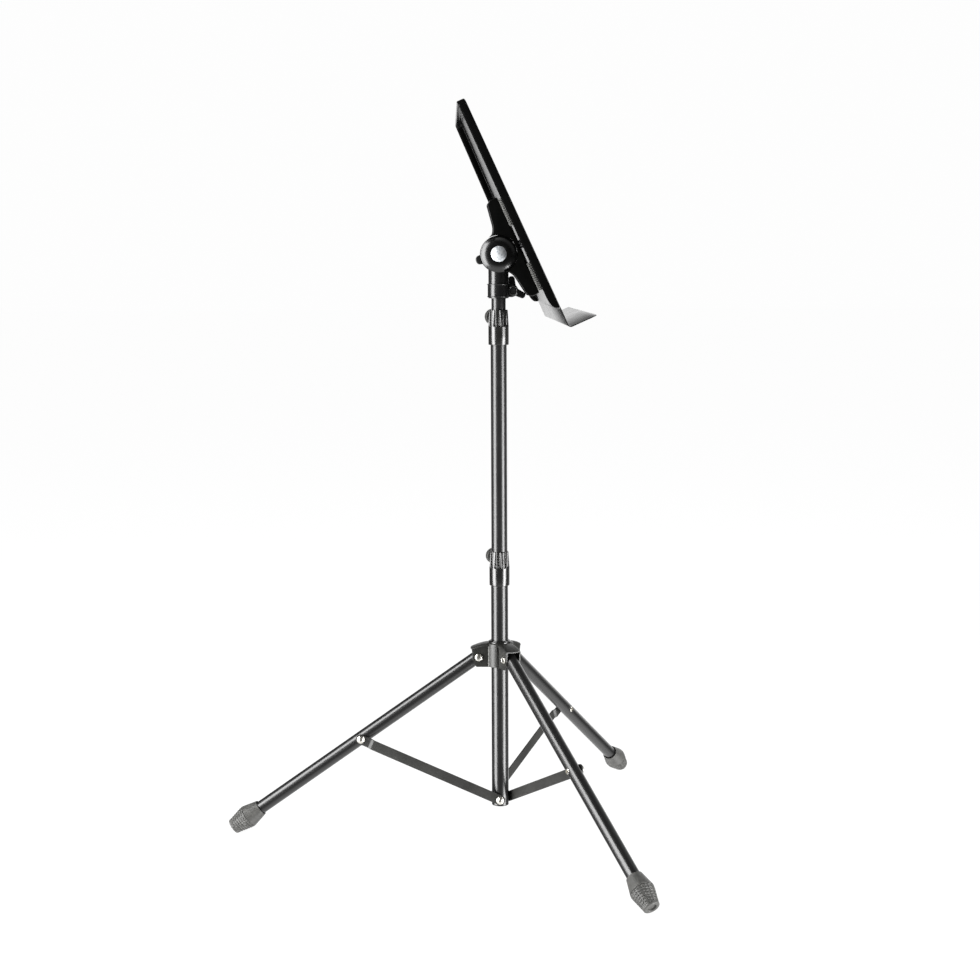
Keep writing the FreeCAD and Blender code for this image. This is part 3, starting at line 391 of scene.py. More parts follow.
# Each finish has a name, a kind, a dark and a light tone and its roughness from and to. Then come
# for a coating the grain's scale and strength, its clear coat and its index of refraction, for
# plastic the grain's scale and strength and the index, and for plating the streaks' stretch, the
# crystals' scale, the streaks' strength and how metallic it is.
FINISHES = (
    ("tube_black", coated_steel, (0.006, 0.006, 0.006), (0.010, 0.010, 0.010), (0.29, 0.33),
     1600, 0.012, 0.3),
    ("brace_black", coated_steel, (0.014, 0.014, 0.013), (0.024, 0.024, 0.022), (0.40, 0.50),
     1900, 0.25),
    ("hub_black", coated_steel, (0.010, 0.010, 0.009), (0.018, 0.018, 0.016), (0.34, 0.46),
     1500, 0.4),
    ("neck_black", coated_steel, (0.004, 0.004, 0.004), (0.007, 0.007, 0.007), (0.24, 0.28),
     1400, 0.012, 0.4),
    ("bracket_black", coated_steel, (0.0008, 0.0008, 0.0007), (0.0018, 0.0018, 0.0016),
     (0.26, 0.34), 1700, 0.12, 0.0, 1.3),
    ("bracket_gloss", coated_steel, (0.001, 0.001, 0.0009), (0.002, 0.002, 0.0018), (0.24, 0.30),
     1500, 0.03, 0.1, 1.65),
    ("desk_black", coated_steel, (0.0008, 0.0008, 0.0008), (0.0018, 0.0018, 0.0017), (0.22, 0.27),
     1700, 0.03, 0.0, 1.33),
    ("plate_grey", moulded_plastic, (0.12, 0.12, 0.115), (0.22, 0.22, 0.21), (0.45, 0.6),
     900, 0.3),
    ("screw_black", coated_steel, (0.005, 0.005, 0.005), (0.009, 0.009, 0.009), (0.28, 0.38),
     1500, 0.1),
    ("clutch_black", moulded_plastic, (0.004, 0.004, 0.004), (0.008, 0.008, 0.007), (0.20, 0.26),
     1200, 0.01, 1.85),
    # the next finish is a light grey painted on the hub's bends, as a painted highlight along their lines
    ("hub_edge", moulded_plastic, (0.10, 0.10, 0.095), (0.20, 0.20, 0.19), (0.35, 0.45),
     1500, 0.1),
    ("knob_black", moulded_plastic, (0.030, 0.030, 0.028), (0.052, 0.052, 0.049), (0.45, 0.60),
     900, 0.5),
    ("star_black", moulded_plastic, (0.004, 0.004, 0.004), (0.007, 0.007, 0.007), (0.32, 0.42),
     1300, 0.1),
    ("plug_plastic", moulded_plastic, (0.010, 0.010, 0.010), (0.018, 0.018, 0.018), (0.30, 0.42),
     1300, 0.10),
    ("pad_plastic", nylon, (0.55, 0.53, 0.46), (0.66, 0.64, 0.58), (0.35, 0.5)),
    ("foot_rubber", moulded_rubber, (0.046, 0.046, 0.043), (0.085, 0.084, 0.079), (0.36, 0.6)),
    ("rivet_nickel", plated_metal, (0.70, 0.68, 0.62), (0.84, 0.82, 0.76), (0.24, 0.36),
     (1, 1, 0.3), 500, 0.08),
    ("bolt_chrome", plated_metal, (0.42, 0.45, 0.48), (0.86, 0.88, 0.90), (0.42, 0.60),
     (1, 0.4, 1), 300, 0.2, 0.6),
    ("zinc_steel", plated_metal, (0.48, 0.49, 0.50), (0.66, 0.67, 0.68), (0.32, 0.45),
     (1, 0.2, 1), 700, 0.12),
)
finishes = {name: kind(name, *look) for name, kind, *look in FINISHES}


# ---------------------------------------------------------------- clutches and round knobs

CLUTCH = 52          # the sleeve's length
CLUTCH_RADIUS = 15.3
CLUTCH_TOP = 13.6    # its radius at the top
FLUTES = 13
FLARE = 27           # height where the flutes start and the sleeve begins to narrow
SCOOP = 3            # length of a flute's rounded foot
FLUTE_HALF = 2.9     # half a flute's width and its depth at FLARE, and what each loses upwards
FLUTE_DEPTH = 2.5
FLUTE_LOSS = 1.9
BOSS_BORE = 3.3      # a boss carries a knob's screw
BOSS_RADIUS = 7.2
GRIP = 12            # radius of a knob's grip
RIBS = 36
RIB_DEPTH = 0.45


def clutch_shape(angle, radius, height):
    """A flute is a groove that narrows upwards and ends below in a rounded scoop."""
    if height < FLARE or radius < CLUTCH_TOP - 0.4:
        return radius
    pitch = 2 * math.pi / FLUTES
    off_middle = abs((angle + pitch / 2) % pitch - pitch / 2) * radius
    rise = (height - FLARE) / (CLUTCH - FLARE)
    half = FLUTE_HALF - FLUTE_LOSS * rise
    if height < FLARE + SCOOP:
        half *= math.sqrt(max(0.0, 1 - ((FLARE + SCOOP - height) / SCOOP) ** 2))
    depth = (FLUTE_DEPTH - FLUTE_LOSS * rise) * max(0.0, 1 - (off_middle / max(half, 0.01)) ** 2)
    return radius - depth


def add_boss(made, where, height, start, end, rim):
    """A round boss on the side of a piece, at a height and along its X from start to end."""
    profile = soften([(BOSS_BORE, start), (BOSS_RADIUS, start), (BOSS_RADIUS, end, rim),
                      (BOSS_BORE, end, 0.4)])
    along = where @ Matrix.Translation((0, 0, height)) @ Matrix.Rotation(math.pi / 2, 4, "Y")
    combine(made, lathed("boss", profile, 40, along), "UNION")


def clutch_sleeve(name, body, knob_joint, seat, guide):
    """A sleeve with a boss for its knob. seat is its bore round the tube that carries it, and
    guide is its bore round the tube that slides in it."""
    low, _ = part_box(name)
    _, heading = joint_place(knob_joint)
    where = axes((0, 0, low.z), UP, heading)
    shoulder, steps = 33, 26
    foot_rim = [(CLUTCH_RADIUS - 0.9, 0), (CLUTCH_RADIUS - 0.3, 0.3), (CLUTCH_RADIUS, 0.9)]
    slope = [(CLUTCH_RADIUS + (CLUTCH_TOP - CLUTCH_RADIUS) * part / steps,
              FLARE + (CLUTCH - 1 - FLARE) * part / steps) for part in range(steps + 1)]
    top_rim = [(CLUTCH_TOP - 0.25, CLUTCH - 0.4), (CLUTCH_TOP - 0.8, CLUTCH)]
    bore = [(guide, CLUTCH), (guide, shoulder), (seat, shoulder), (seat, 0)]
    wall = [(CLUTCH_RADIUS, 13), (CLUTCH_RADIUS, FLARE - 0.6)]
    profile = foot_rim + wall + slope + top_rim + bore
    sleeve = lathed(name + "_shell", profile, FLUTES * 26, where, 40, clutch_shape)
    add_boss(sleeve, where, height=41, start=13.4, end=20, rim=0.8)
    crisp(sleeve, sharp=40)
    paint(sleeve, finishes["clutch_black"])
    stands_for(sleeve, body, "clutch_black", name)


def knob_shape(angle, radius, height):
    """Shallow ribs round the grip's rim."""
    if radius < GRIP - 1.4:
        return radius
    wave = 0.5 + 0.5 * math.cos(RIBS * angle)
    return radius - RIB_DEPTH * wave ** 2


def round_knob(name, body, turn_joint, start):
    """A moulded grip with a ribbed rim and a dished face. start is where it meets the boss."""
    origin, heading = joint_place(turn_joint)
    where = axes(origin, heading, UP)
    hole, neck = 3.05, 6
    back, front, dish, hole_end = start + 1.8, start + 11.3, start + 10.6, start + 8.3
    profile = soften([(hole, start), (neck, start, 0.3), (neck, back, 0.5), (GRIP, back, 1.5),
                      (GRIP, front, 1.6), (9.3, front, 0.8), (8.2, dish, 1.0), (0.01, dish),
                      (0.01, hole_end), (hole, hole_end)])
    knob = lathed(name + "_grip", profile, RIBS * 4, where, 40, knob_shape)
    paint(knob, finishes["knob_black"])
    stands_for(knob, body, "knob_black", name)


# ---------------------------------------------------------------- hub

HUB_LOW = 262
HUB_TOP = 298.4
HUB_RADIUS = 20.5
LUG_START = 14.6     # inside the collar's wall
LUG_REACH = 45
LUG_HALF = 12
LUG_CORNER = 3.2     # radius of the shoulders between cover and cheeks
CHEEK_ROWS = 5
SHEET = 1.6
LIP = 0.9            # how far a lug's cover stands out over its cheeks


def lug_top(reach):
    """Height of a lug's cover: level by the column, then bending down more and more."""
    level, drop = 15, 8.6
    along = max(0.0, (reach - level) / (LUG_REACH - level))
    return HUB_TOP - 0.6 - drop * along ** 1.7


def lug_low(reach):
    """Height of a cheek's lower edge, with its outer corner cut off on the slant."""
    slant_start, slant_rise, slant_run = 35.5, 15.5, 8.5
    return HUB_LOW + slant_rise * max(0.0, (reach - slant_start) / slant_run)


def lug_section(inward, lip):
    """A lug's section as (across, drop below the cover), from one cheek's foot to the other's.
    The drop of a cheek's own rows is None, as they are spaced down to its lower edge."""
    half = LUG_HALF - inward + lip
    radius = LUG_CORNER - inward
    left = [(lip - half, None)] * CHEEK_ROWS
    if lip:
        left += [(lip - half, LUG_CORNER + lip), (0.3 - half, LUG_CORNER + lip),
                 (-half, LUG_CORNER + lip - 0.3)]
    left += [(-half + radius * (1 - math.cos(turned)), radius * (1 - math.sin(turned)))
             for turned in quarter(6)]
    cover = [((-half + radius) * (1 - 2 * part / 8), 0) for part in range(1, 8)]
    return left + cover + [(-x, drop) for x, drop in reversed(left)]


def lug(where):
    """An inverted channel of folded sheet: two cheeks and a cover with rounded shoulders. Its
    cover is a little crowned, and its end is round, with the cheeks set back."""
    crown, rounding, set_back = 0.7, 3.0, 1.2
    rings = []
    for station in range(29):
        share = station / 28
        faces = []
        for inward, lip in ((0, LIP), (SHEET, 0)):
            section = lug_section(inward, lip)
            face = []
            for index, (x, drop) in enumerate(section):
                off_middle = (x / LUG_HALF) ** 2
                end = LUG_REACH - 0.4 - rounding * off_middle - (set_back if drop is None else 0)
                reach = LUG_START + (end - LUG_START) * share
                top = lug_top(reach) - inward + crown * (1 - off_middle)
                if drop is None:
                    step = min(index, len(section) - 1 - index)
                    low = lug_low(reach)
                    height = low + (top - LUG_CORNER - lip - 0.1 - low) * step / CHEEK_ROWS
                else:
                    height = top - drop
                face.append((reach, x, height))
            faces.append(face)
        outer, inner = faces
        rings.append(outer + list(reversed(inner)))
    return piece("lug", *skin(rings), where, sharp=38)


def bend(where, side):
    """The hollow bend where a lug's cheek runs into the round shell. Its strip is later painted a light grey, a
    painted highlight along the bend line.
    """
    radius = 1.8
    buried = 1.5         # how deep the strip reaches into the shell
    across = LUG_HALF + radius
    along = math.sqrt((HUB_RADIUS + radius) ** 2 - across ** 2)
    swing = math.atan2(across, along)
    outline = [Vector((along - 3, LUG_HALF - 1)), Vector((along, LUG_HALF - 1))]
    for part in range(9):
        turned = math.pi / 2 + (swing - math.pi / 2) * part / 8
        outline.append(Vector((along - radius * math.cos(turned),
                               across - radius * math.sin(turned))))
    outline.append(outline[-1] * (1 - buried / HUB_RADIUS))
    outline = [Vector((point.x, side * point.y)) for point in outline]
    if side < 0:
        outline.reverse()
    strip = slab(outline, HUB_LOW + 0.6, HUB_TOP - 4.6, edge=0.05, steps=1)
    return piece("bend", *skin(strip), where, sharp=38)


def hub():
    """Pressed shell: a collar and three lugs, with a hollow bend on both sides of each lug. The bends are painted
    a lighter grey than the shell, as a painted highlight along each bend line.
    """
    _, lock = joint_place("hub_knob_turn")
    where = axes((0, 0, 0), UP, lock)
    bore = 14.52
    collar = soften([(bore, HUB_LOW), (HUB_RADIUS, HUB_LOW, 0.8), (HUB_RADIUS, HUB_TOP, 2.2),
                     (bore, HUB_TOP)])
    made = lathed("hub_pressing", collar, 96, where, sharp=38)
    paint(made, finishes["hub_black"])
    for degrees in (60, 180, 300):
        here = where @ Matrix.Rotation(math.radians(degrees), 4, "Z")
        combine(made, lug(here), "UNION")
        for side in (1, -1):
            edge = bend(here, side)
            # the bend strip's light grey is a painted highlight, not the hub's own colour
            paint(edge, finishes["hub_edge"])
            combine(made, edge, "UNION")
    add_boss(made, where, height=281, start=19, end=25.5, rim=0.9)
    crisp(made, sharp=38)
    stands_for(made, "hub", "hub_black", "hub")


def hub_ring():
    """The slide bush, with a round glossy rim that stands out of the hub's top."""
    bore, wall, flange = 12.98, 14.5, 17.2
    seat, top = HUB_TOP - 0.6, HUB_TOP + 3.2
    profile = soften([(bore, HUB_LOW, 0.3), (wall, HUB_LOW, 0.4), (wall, seat), (flange, seat),
                      (flange, HUB_TOP + 1.4, 0.5), (15.6, HUB_TOP + 2.2, 0.4), (15.2, top, 1.0),
                      (bore, top, 0.4)])
    where = axes((0, 0, 0), UP, ACROSS)
    made = lathed("hub_ring", profile, 96, where, sharp=38)
    paint(made, finishes["clutch_black"])
    stands_for(made, "hub", "plug_plastic", "hub_bush")


def pivot_rivets():
    """A domed head on one cheek of each lug and a rolled, hollow end on the other. The hollow's floor is painted
    dark, as painted shade in the hole.
    """
    head, tail = LUG_HALF, -LUG_HALF
    shank, head_radius = 3, 6.1
    dome = [(head_radius * math.cos(turned) ** 0.8 + 0.01, head + 0.7 + 3.3 * math.sin(turned))
            for turned in quarter(8)]
    roll = [(4.1 + 1.0 * math.cos(turned), tail - 0.4 - 1.0 * math.sin(turned))
            for turned in (math.pi * part / 8 for part in range(9))]
    hollow = [(0.01, tail + 2), (3.0, tail + 2)]
    stem = [(5.1, tail), (3.5, tail), (3.5, tail + 3), (shank, tail + 3), (shank, head),
            (head_radius, head)]
    profile = hollow + list(reversed(roll)) + stem + dome
    rivets = []
    for side in SIDES:
        pivot, rivet = joint_place(side + "_leg_fold")
        where = axes(pivot, rivet, UP)
        made = lathed(side + "_rivet", profile, 48, where, sharp=50)
        for face in made.data.polygons:
            inside = where.inverted() @ face.center
            # faces inside the hollow take the dark plug plastic: painted shade in the hole
            hollow_painted_shade = math.hypot(inside.x, inside.y) < 3.05 and inside.z < 0
            face.material_index = 1 if hollow_painted_shade else 0
        rivets.append(made)
    joined = join("leg_rivets", rivets)
    joined.data.materials.append(finishes["rivet_nickel"])
    # the hollow's dark finish is painted shade, not a plug
    joined.data.materials.append(finishes["plug_plastic"])
    stands_for(joined, "hub", "rivet_nickel", "leg_pivot_rivets")


# ---------------------------------------------------------------- legs' feet and braces

FOOT = 53            # the foot's length
TREAD_START = 23     # where the tread blocks begin and end, from the foot's collar
TREAD_END = FOOT - 2.5
TREAD_ROWS = 7
TREAD_COLUMNS = 12
TREAD_DEPTH = 0.95
COLLAR_END = 12.3    # the foot's radius where its socket's collar ends


def foot_radius(along):
    """Two cones, narrow at the collar and at the end, that meet in a rounded belly."""
    upper = COLLAR_END + (along - 1) * 5.8 / 24
    lower = 12.0 + (FOOT - 2 - along) * 6.1 / 26
    softness = 0.55
    return -math.log(math.exp(-upper / softness) + math.exp(-lower / softness)) * softness


def foot_shape(angle, radius, along):
    """Block tread: ribs round the foot, broken by channels along it."""
    if radius < COLLAR_END or not TREAD_START < along < TREAD_END:
        return radius
    rows = (along - TREAD_START) / (TREAD_END - TREAD_START) * TREAD_ROWS % 1
    columns = angle / (2 * math.pi) * TREAD_COLUMNS % 1
    rib = clamp((rows - 0.16) / 0.14) * clamp((0.84 - rows) / 0.14)
    block = clamp((columns - 0.10) / 0.06) * clamp((0.90 - columns) / 0.06)
    return radius - TREAD_DEPTH * (1 - rib * block)


def foot(name):
    """A foot with a socket for the leg's tube at its collar and a shallow recess in its end."""
    where = leg_frame(name) @ Matrix.Translation((0, 0, LEG_LENGTH - FOOT))
    steps, socket = 96, 10.04
    heights = [1 + (FOOT - 3) * part / steps for part in range(steps + 1)]
    side = [(foot_radius(along), along) for along in heights]
    end = [(11.9, FOOT - 1.1), (11.3, FOOT - 0.4), (10.1, FOOT), (7.4, FOOT), (6.8, FOOT - 0.4),
           (6, FOOT - 2.5), (0.01, FOOT - 2.5), (0.01, FOOT - 8), (socket, FOOT - 8)]
    collar = [(socket, 3.5), (11.1, 3.2), (11.3, 0.3), (11.5, 0), (11.9, 0), (12.2, 0.4)]
    made = lathed(name + "_foot_tread", collar + side + end, 192, where, 40, foot_shape)
    paint(made, finishes["foot_rubber"])
    stands_for(made, name + "_leg", "foot_rubber", name + "_foot")


def brace(name):
    """A flat bar with rounded ends and edges, stepped sideways near the leg."""
    pin, rivet = joint_place(name + "_brace_fold")
    knee = leg_frame(name) @ Vector((0, 0, BRACE_REACH))
    along = knee - pin
    length = along.length / MM
    half, thick, edge = 7.5, 2.5, 0.5
    by_column, by_leg = COLUMN_RADIUS + 0.3, 10.3
    step_start, step_length = length - 20, 6
    stations = [(-half * math.cos(turned), half * math.sin(turned)) for turned in quarter(8)]
    stations += [(length * share, half) for share in (0.3, 0.6)]
    stations += [(step_start + part, half) for part in range(step_length + 1)]
    stations += [(length + half * math.sin(turned), half * math.cos(turned))
                 for turned in quarter(8)]
    rings = []
    for x, width in stations:
        step = clamp((x - step_start) / step_length)
        side = by_column + (by_leg - by_column) * (3 * step ** 2 - 2 * step ** 3)
        width = max(width, 0.6)
        corners = [(side, -width, edge), (side + thick, -width, edge),
                   (side + thick, width, edge), (side, width, edge)]
        rings.append([(x, point.x, point.y) for point in soften(corners, step=30)])
    where = axes(pin, along.cross(rivet), along)
    made = piece(name + "_brace_bar", *skin(rings), where, sharp=40)
    paint(made, finishes["brace_black"])
    stands_for(made, name + "_brace", "brace_black", name + "_brace")


# ---------------------------------------------------------------- star knobs

def star_outline(reach, tip, root):
    """Three arms that narrow to round tips, with filleted roots. The first points along X."""
    valley = Vector((math.cos(math.pi / 3), -math.sin(math.pi / 3))) * root * 1.05
    near_tip, far_tip = Vector((reach, -tip)), Vector((reach, tip))
    valley_radius, tip_radius = root * 0.55, tip * 0.93
    corners = []
    for index in range(3):
        turned = Matrix.Rotation(index * 2 * math.pi / 3, 2)
        for spot, radius in ((valley, valley_radius), (near_tip, tip_radius), (far_tip, tip_radius)):
            here = turned @ spot
            corners.append((here.x, here.y, radius))
    return soften(corners, step=10)


def star_knob(name, body, turn_joint, first_arm, *, reach, tip, root, hub_radius, collar_radius,
              start, waist, arm, end, hole):
    """A three-armed knob: arms, a hub behind them with a narrow collar, and a ring round the
    screw's end. first_arm is in degrees from upright, away from the reader. Along the knob come
    its start, the waist where the hub begins, the arms' back and the end."""
    origin, heading = joint_place(turn_joint)
    lean = math.radians(first_arm)
    where = axes(origin, heading, (0, math.sin(lean), math.cos(lean)))
    arms = slab(star_outline(reach, tip, root), arm, end - 1, edge=1.3)
    made = piece(name + "_star", *skin(arms), where, sharp=40)
    ring, dish = hub_radius - 2.2, end - 1.4
    profile = soften([(hole, start), (collar_radius, start, 0.3), (collar_radius, waist, 0.5),
                      (hub_radius, waist, 0.8), (hub_radius, end, 0.9), (ring, end, 0.6),
                      (ring - 0.6, dish, 0.4), (hole, dish)])
    combine(made, lathed("hub", profile, 64, where), "UNION")
    crisp(made, sharp=40)
    paint(made, finishes["star_black"])
    stands_for(made, body, "knob_black", name)


def neck_clamp():
    """Band with two rims and a pair of ears, and a ring round the bolt's head."""
    low, high = 818.9, 838.7
    rim, band, wall, bore = 17, 16.1, 14.6, 15.02
    rim_height = 1.5
    ear_reach, ear_half, ear_corner = 29, 4.2, 9.8
    gap_half = 1.2
    where = axes((0, 0, 0), UP, ACROSS)
    profile = soften([(wall, low), (rim, low, 0.6), (rim, low + rim_height, 0.6),
                      (band, low + rim_height, 0.4), (band, high - rim_height, 0.4),
                      (rim, high - rim_height, 0.6), (rim, high, 0.6), (wall, high)])
    made = lathed("neck_band", profile, 96, where, sharp=38)
    paint(made, finishes["neck_black"])
    ears = soften([(-ear_reach, low, ear_corner), (-15.3, low), (-15.3, high),
                   (-ear_reach, high, ear_corner)], step=9)
    ears = slab(ears, -ear_half, ear_half, edge=0.9)
    combine(made, piece("ears", *skin(ears), axes((0, 0, 0), ACROSS, AWAY)), "UNION")
    origin, heading = joint_place("head_knob_turn")
    ring = soften([(5.2, 3.4), (7.4, 3.4), (7.4, 8.5, 1.0), (5.2, 8.5, 0.7)])
    ring = lathed("ring", ring, 48, axes(origin, -heading, UP))
    combine(made, paint(ring, finishes["clutch_black"]), "UNION")
    tube = [(0.01, low - 1), (bore, low - 1), (bore, high + 1), (0.01, high + 1)]
    combine(made, lathed("bore", tube, 96, where), "DIFFERENCE")
    gap = soften([(-gap_half, -31), (gap_half, -31), (gap_half, -12), (-gap_half, -12)])
    gap = slab(gap, low - 1, high + 1, edge=0.01, steps=1)
    combine(made, piece("gap", *skin(gap), where), "DIFFERENCE")
    crisp(made, sharp=38)
    stands_for(made, "head", "neck_black", "neck_clamp")


# ---------------------------------------------------------------- bracket

def bracket():
    """A channel with two arms and two domed round cheeks, each cheek in a round recess."""
    where = desk_frame() @ Matrix.Rotation(math.pi / 2, 4, "Z")
    where = where @ Matrix.Rotation(math.pi / 2, 4, "X")
    half_width, inner_half, recess_radius, recess_floor = 19, 15.6, 28, 15
    half = [(26.5, -6), (30.5, 3.5, 7), (38, 8.2, 20), (72.5, 13.5, 5), (77.3, 21, 8),
            (76, 31.5, 1.2), (30, 31.5, 0.4), (30, 34, 0.6)]
    corners = half + [(-corner[0], *corner[1:]) for corner in reversed(half)]
    casting = slab(soften(corners), -half_width, half_width, edge=1.8, steps=5)
    made = piece("bracket_casting", *skin(casting), where, sharp=38)
    paint(made, finishes["bracket_black"])
    recess = [(0.01, recess_floor), (recess_radius, recess_floor), (recess_radius, 25),
              (0.01, 25)]
    mirrored = [(radius, -height) for radius, height in reversed(recess)]
    for ring in (mirrored, recess):
        combine(made, lathed("recess", ring, 96, where), "DIFFERENCE")
    face, flat, slope, drop = 22, 12, 14.6, 6.2
    dome = [(0.01, face - 0.4), (flat - 0.4, face - 0.4), (flat, face)]
    for part in range(1, 21):
        share = part / 20
        dome.append((flat + slope * share, face - drop * share ** 2.3))
    dome += [(27, 15.7)]
    profile = [(radius, -height) for radius, height in dome] + list(reversed(dome))
    disc = lathed("disc", profile, 128, where, sharp=38)
    paint(disc, finishes["bracket_gloss"])
    combine(made, disc, "UNION")
    channel = soften([(-95, -40), (95, -40), (95, 27.5), (-95, 27.5)])
    channel = slab(channel, -inner_half, inner_half, edge=0.01, steps=1)
    combine(made, piece("channel", *skin(channel), where), "DIFFERENCE")
    crisp(made, sharp=38)
    stands_for(made, "desk", "bracket_black", "bracket")


def mounting_plate(name, sign):
    """A packing plate whose long edges are serrated, above the tilt axis or below it."""
    low, high = 30.1, 75.5
    back, face = 31.52, 36.98
    pitch, tip, root = 3.1, 24, 20.5
    side = []
    for index in range(int((high - low) / pitch)):
        start = low + pitch * index
        side += [(tip, start + 0.15), (tip, start + pitch * 0.40),
                 (root, start + pitch * 0.52), (root, start + pitch * 0.92)]
    mirrored = [(-x, y) for x, y in reversed(side)]
    outline = [Vector((x, y * sign)) for x, y in side + mirrored]
    if sign < 0:
        outline.reverse()
    plate = slab(outline, back, face, edge=0.12, steps=2)
    made = piece(name + "_serrated", *skin(plate), desk_frame(), sharp=30)
    paint(made, finishes["plate_grey"])
    stands_for(made, "desk", "zinc_steel", name)


# ---------------------------------------------------------------- desk

FRONT = 38.2         # the panel's front face, from the tilt axis
FLANGE = 12
DESK_BEND = 2.4      # outer radius of the fold between panel and flange
DESK_LOW = -96.6     # where the flanges end, and the panel's top
DESK_TOP = 211.6
DESK_CORNER = 12
LOW_HALF = 280
TOP_HALF = 200
STEEL = 1.2          # the sheet's thickness
SHELF = -126.2
SHELF_DEPTH = 40
SHELF_BEND = 4
SHELF_CORNER = 9
HEM = 6.5            # the flange's edge is folded back inside by this much
HEM_RADIUS = 1.3
SCREWS = (-64, 0, 64)


def desk_edge():
    """The panel's outline from its lower right corner, over the top, to its lower left corner."""
    corners = [(LOW_HALF, DESK_LOW), (TOP_HALF, DESK_TOP, DESK_CORNER),
               (-TOP_HALF, DESK_TOP, DESK_CORNER), (-LOW_HALF, DESK_LOW)]
    edge = soften(corners, closed=False, step=9)
    shares = (0.006, 0.013, 0.022, 0.032, 0.045, 0.06, 0.3, 0.6)
    near_foot = [edge[0].lerp(edge[1], share) for share in shares]
    mirrored = [Vector((-point.x, point.y)) for point in reversed(near_foot)]
    return edge[:1] + near_foot + edge[1:-1] + mirrored + edge[-1:]


def desk_row(here, out):
    """Points round the flange at one place of the outline: from the hem inside the flange, round
    the flange's edge and over the fold, onto the panel. The flange runs out at its foot."""
    rise = min(1.0, (here.y - DESK_LOW) / 18)
    depth = DESK_BEND + 1 + (FLANGE - DESK_BEND - 1) * math.sqrt(1 - (1 - rise) ** 2)
    low = FRONT - depth
    inner = here - out * 2 * HEM_RADIUS
    row = [(inner.x, inner.y, low + height)
           for height in (min(HEM, depth - DESK_BEND), HEM_RADIUS)]
    for part in range(1, 5):
        turned = math.pi * part / 5
        inner = here - out * HEM_RADIUS * (1 + math.cos(turned))
        row.append((inner.x, inner.y, low + HEM_RADIUS * (1 - math.sin(turned))))
    row += [(here.x, here.y, low + HEM_RADIUS + (depth - DESK_BEND - HEM_RADIUS) * part / 3)
            for part in range(3)]
    for turned in quarter(6):
        back = here - out * DESK_BEND * (1 - math.cos(turned))
        row.append((back.x, back.y, FRONT - DESK_BEND + DESK_BEND * math.sin(turned)))
    return row


def shelf_profile():
    """From the panel's foot over the shelf's bend to its round corners, as (half width, height,
    depth)."""
    profile = [(LOW_HALF, DESK_LOW - 4, FRONT), (LOW_HALF, SHELF + SHELF_BEND, FRONT)]
    profile += [(LOW_HALF, SHELF + SHELF_BEND * (1 - math.sin(turned)),
                 FRONT + SHELF_BEND * (1 - math.cos(turned))) for turned in quarter(8)[1:]]
    profile += [(LOW_HALF - SHELF_CORNER * (1 - math.cos(turned)), SHELF,
                 FRONT + SHELF_DEPTH - SHELF_CORNER * (1 - math.sin(turned)))
                for turned in quarter(8)]
    return profile


def desk():
    """Folded sheet steel, drawn as its outer face: the flange's rows and the panel between them.
    The panel goes on below the flanges and folds forward as the shelf."""
    edge = desk_edge()
    rows = []
    for index, here in enumerate(edge):
        before = edge[max(0, index - 1)]
        after = edge[min(len(edge) - 1, index + 1)]
        rows.append(desk_row(here, Vector((after.y - before.y, before.x - after.x)).normalized()))
    size = len(rows[0])
    points = [point for row in rows for point in row]
    faces = []
    for index in range(len(rows) - 1):
        for part in range(size - 1):
            first = index * size + part
            faces.append((first, first + size, first + size + 1, first + 1))
    rim = [index * size + size - 1 for index in range(len(rows))]
    for index in range(len(rows) // 2 - 1):
        faces.append((rim[-1 - index], rim[index], rim[index + 1], rim[-2 - index]))
    last = (rim[-1], rim[0])
    for half, height, depth in shelf_profile():
        points += [(-half, height, depth), (half, height, depth)]
        fresh = (len(points) - 2, len(points) - 1)
        faces.append((fresh[0], fresh[1], last[1], last[0]))
        last = fresh
    made = piece("desk_sheet", points, faces, desk_frame())
    thickness = made.modifiers.new("thickness", "SOLIDIFY")
    thickness.thickness = STEEL * MM
    thickness.offset = -1
    thickness.use_even_offset = True
    rims = made.modifiers.new("rims", "BEVEL")
    rims.width = 0.3 * MM
    rims.segments = 2
    rims.limit_method = "ANGLE"
    rims.angle_limit = math.radians(60)
    settle(made)
    seat = [(0.01, FRONT - 3.1), (3.02, FRONT - 3.1), (6.15, FRONT + 0.03), (6.15, FRONT + 1),
            (0.01, FRONT + 1)]
    for along in SCREWS:
        spot = desk_frame() @ Matrix.Translation((0, along, 0))
        combine(made, lathed("seat", seat, 48, spot), "DIFFERENCE")
    crisp(made, sharp=32)
    paint(made, finishes["desk_black"])
    stands_for(made, "desk", "desk_black", "desk")


def desk_screws():
    """Countersunk screws with a cross recess. The middle one is shorter."""
    shank, head = 3, 5.95
    slot_reach, slot_half, slot_depth = 2.9, 0.6, 1.6
    slot = soften([(-slot_reach, -slot_half), (slot_reach, -slot_half), (slot_reach, slot_half),
                   (-slot_reach, slot_half)])
    slot = slab(slot, FRONT - slot_depth, FRONT + 1, edge=0.01, steps=1)
    made = []
    for along in SCREWS:
        spot = desk_frame() @ Matrix.Translation((0, along, 0))
        start = 27.5 if along == 0 else 22
        profile = soften([(0.01, start), (shank, start, 0.6), (shank, FRONT - 3.15),
                          (head, FRONT - 0.2, 0.1), (5.8, FRONT - 0.05, 0.05),
                          (0.01, FRONT - 0.05)])
        screw = lathed("screw", profile, 48, spot)
        for degrees in (20, 110):
            turned = spot @ Matrix.Rotation(math.radians(degrees), 4, "Z")
            combine(screw, piece("slot", *skin(slot), turned), "DIFFERENCE")
        made.append(crisp(screw, sharp=38))
    screws = join("desk_screw_set", made)
    paint(screws, finishes["screw_black"])
    stands_for(screws, "desk", "screw_black", "desk_screws")


# ---------------------------------------------------------------- floor, light and camera

ROOM = 0.10          # strength of the room's own light
SWEEP = 1.85         # and of the sweep behind the object
FLOOR_LIGHT = 1.3


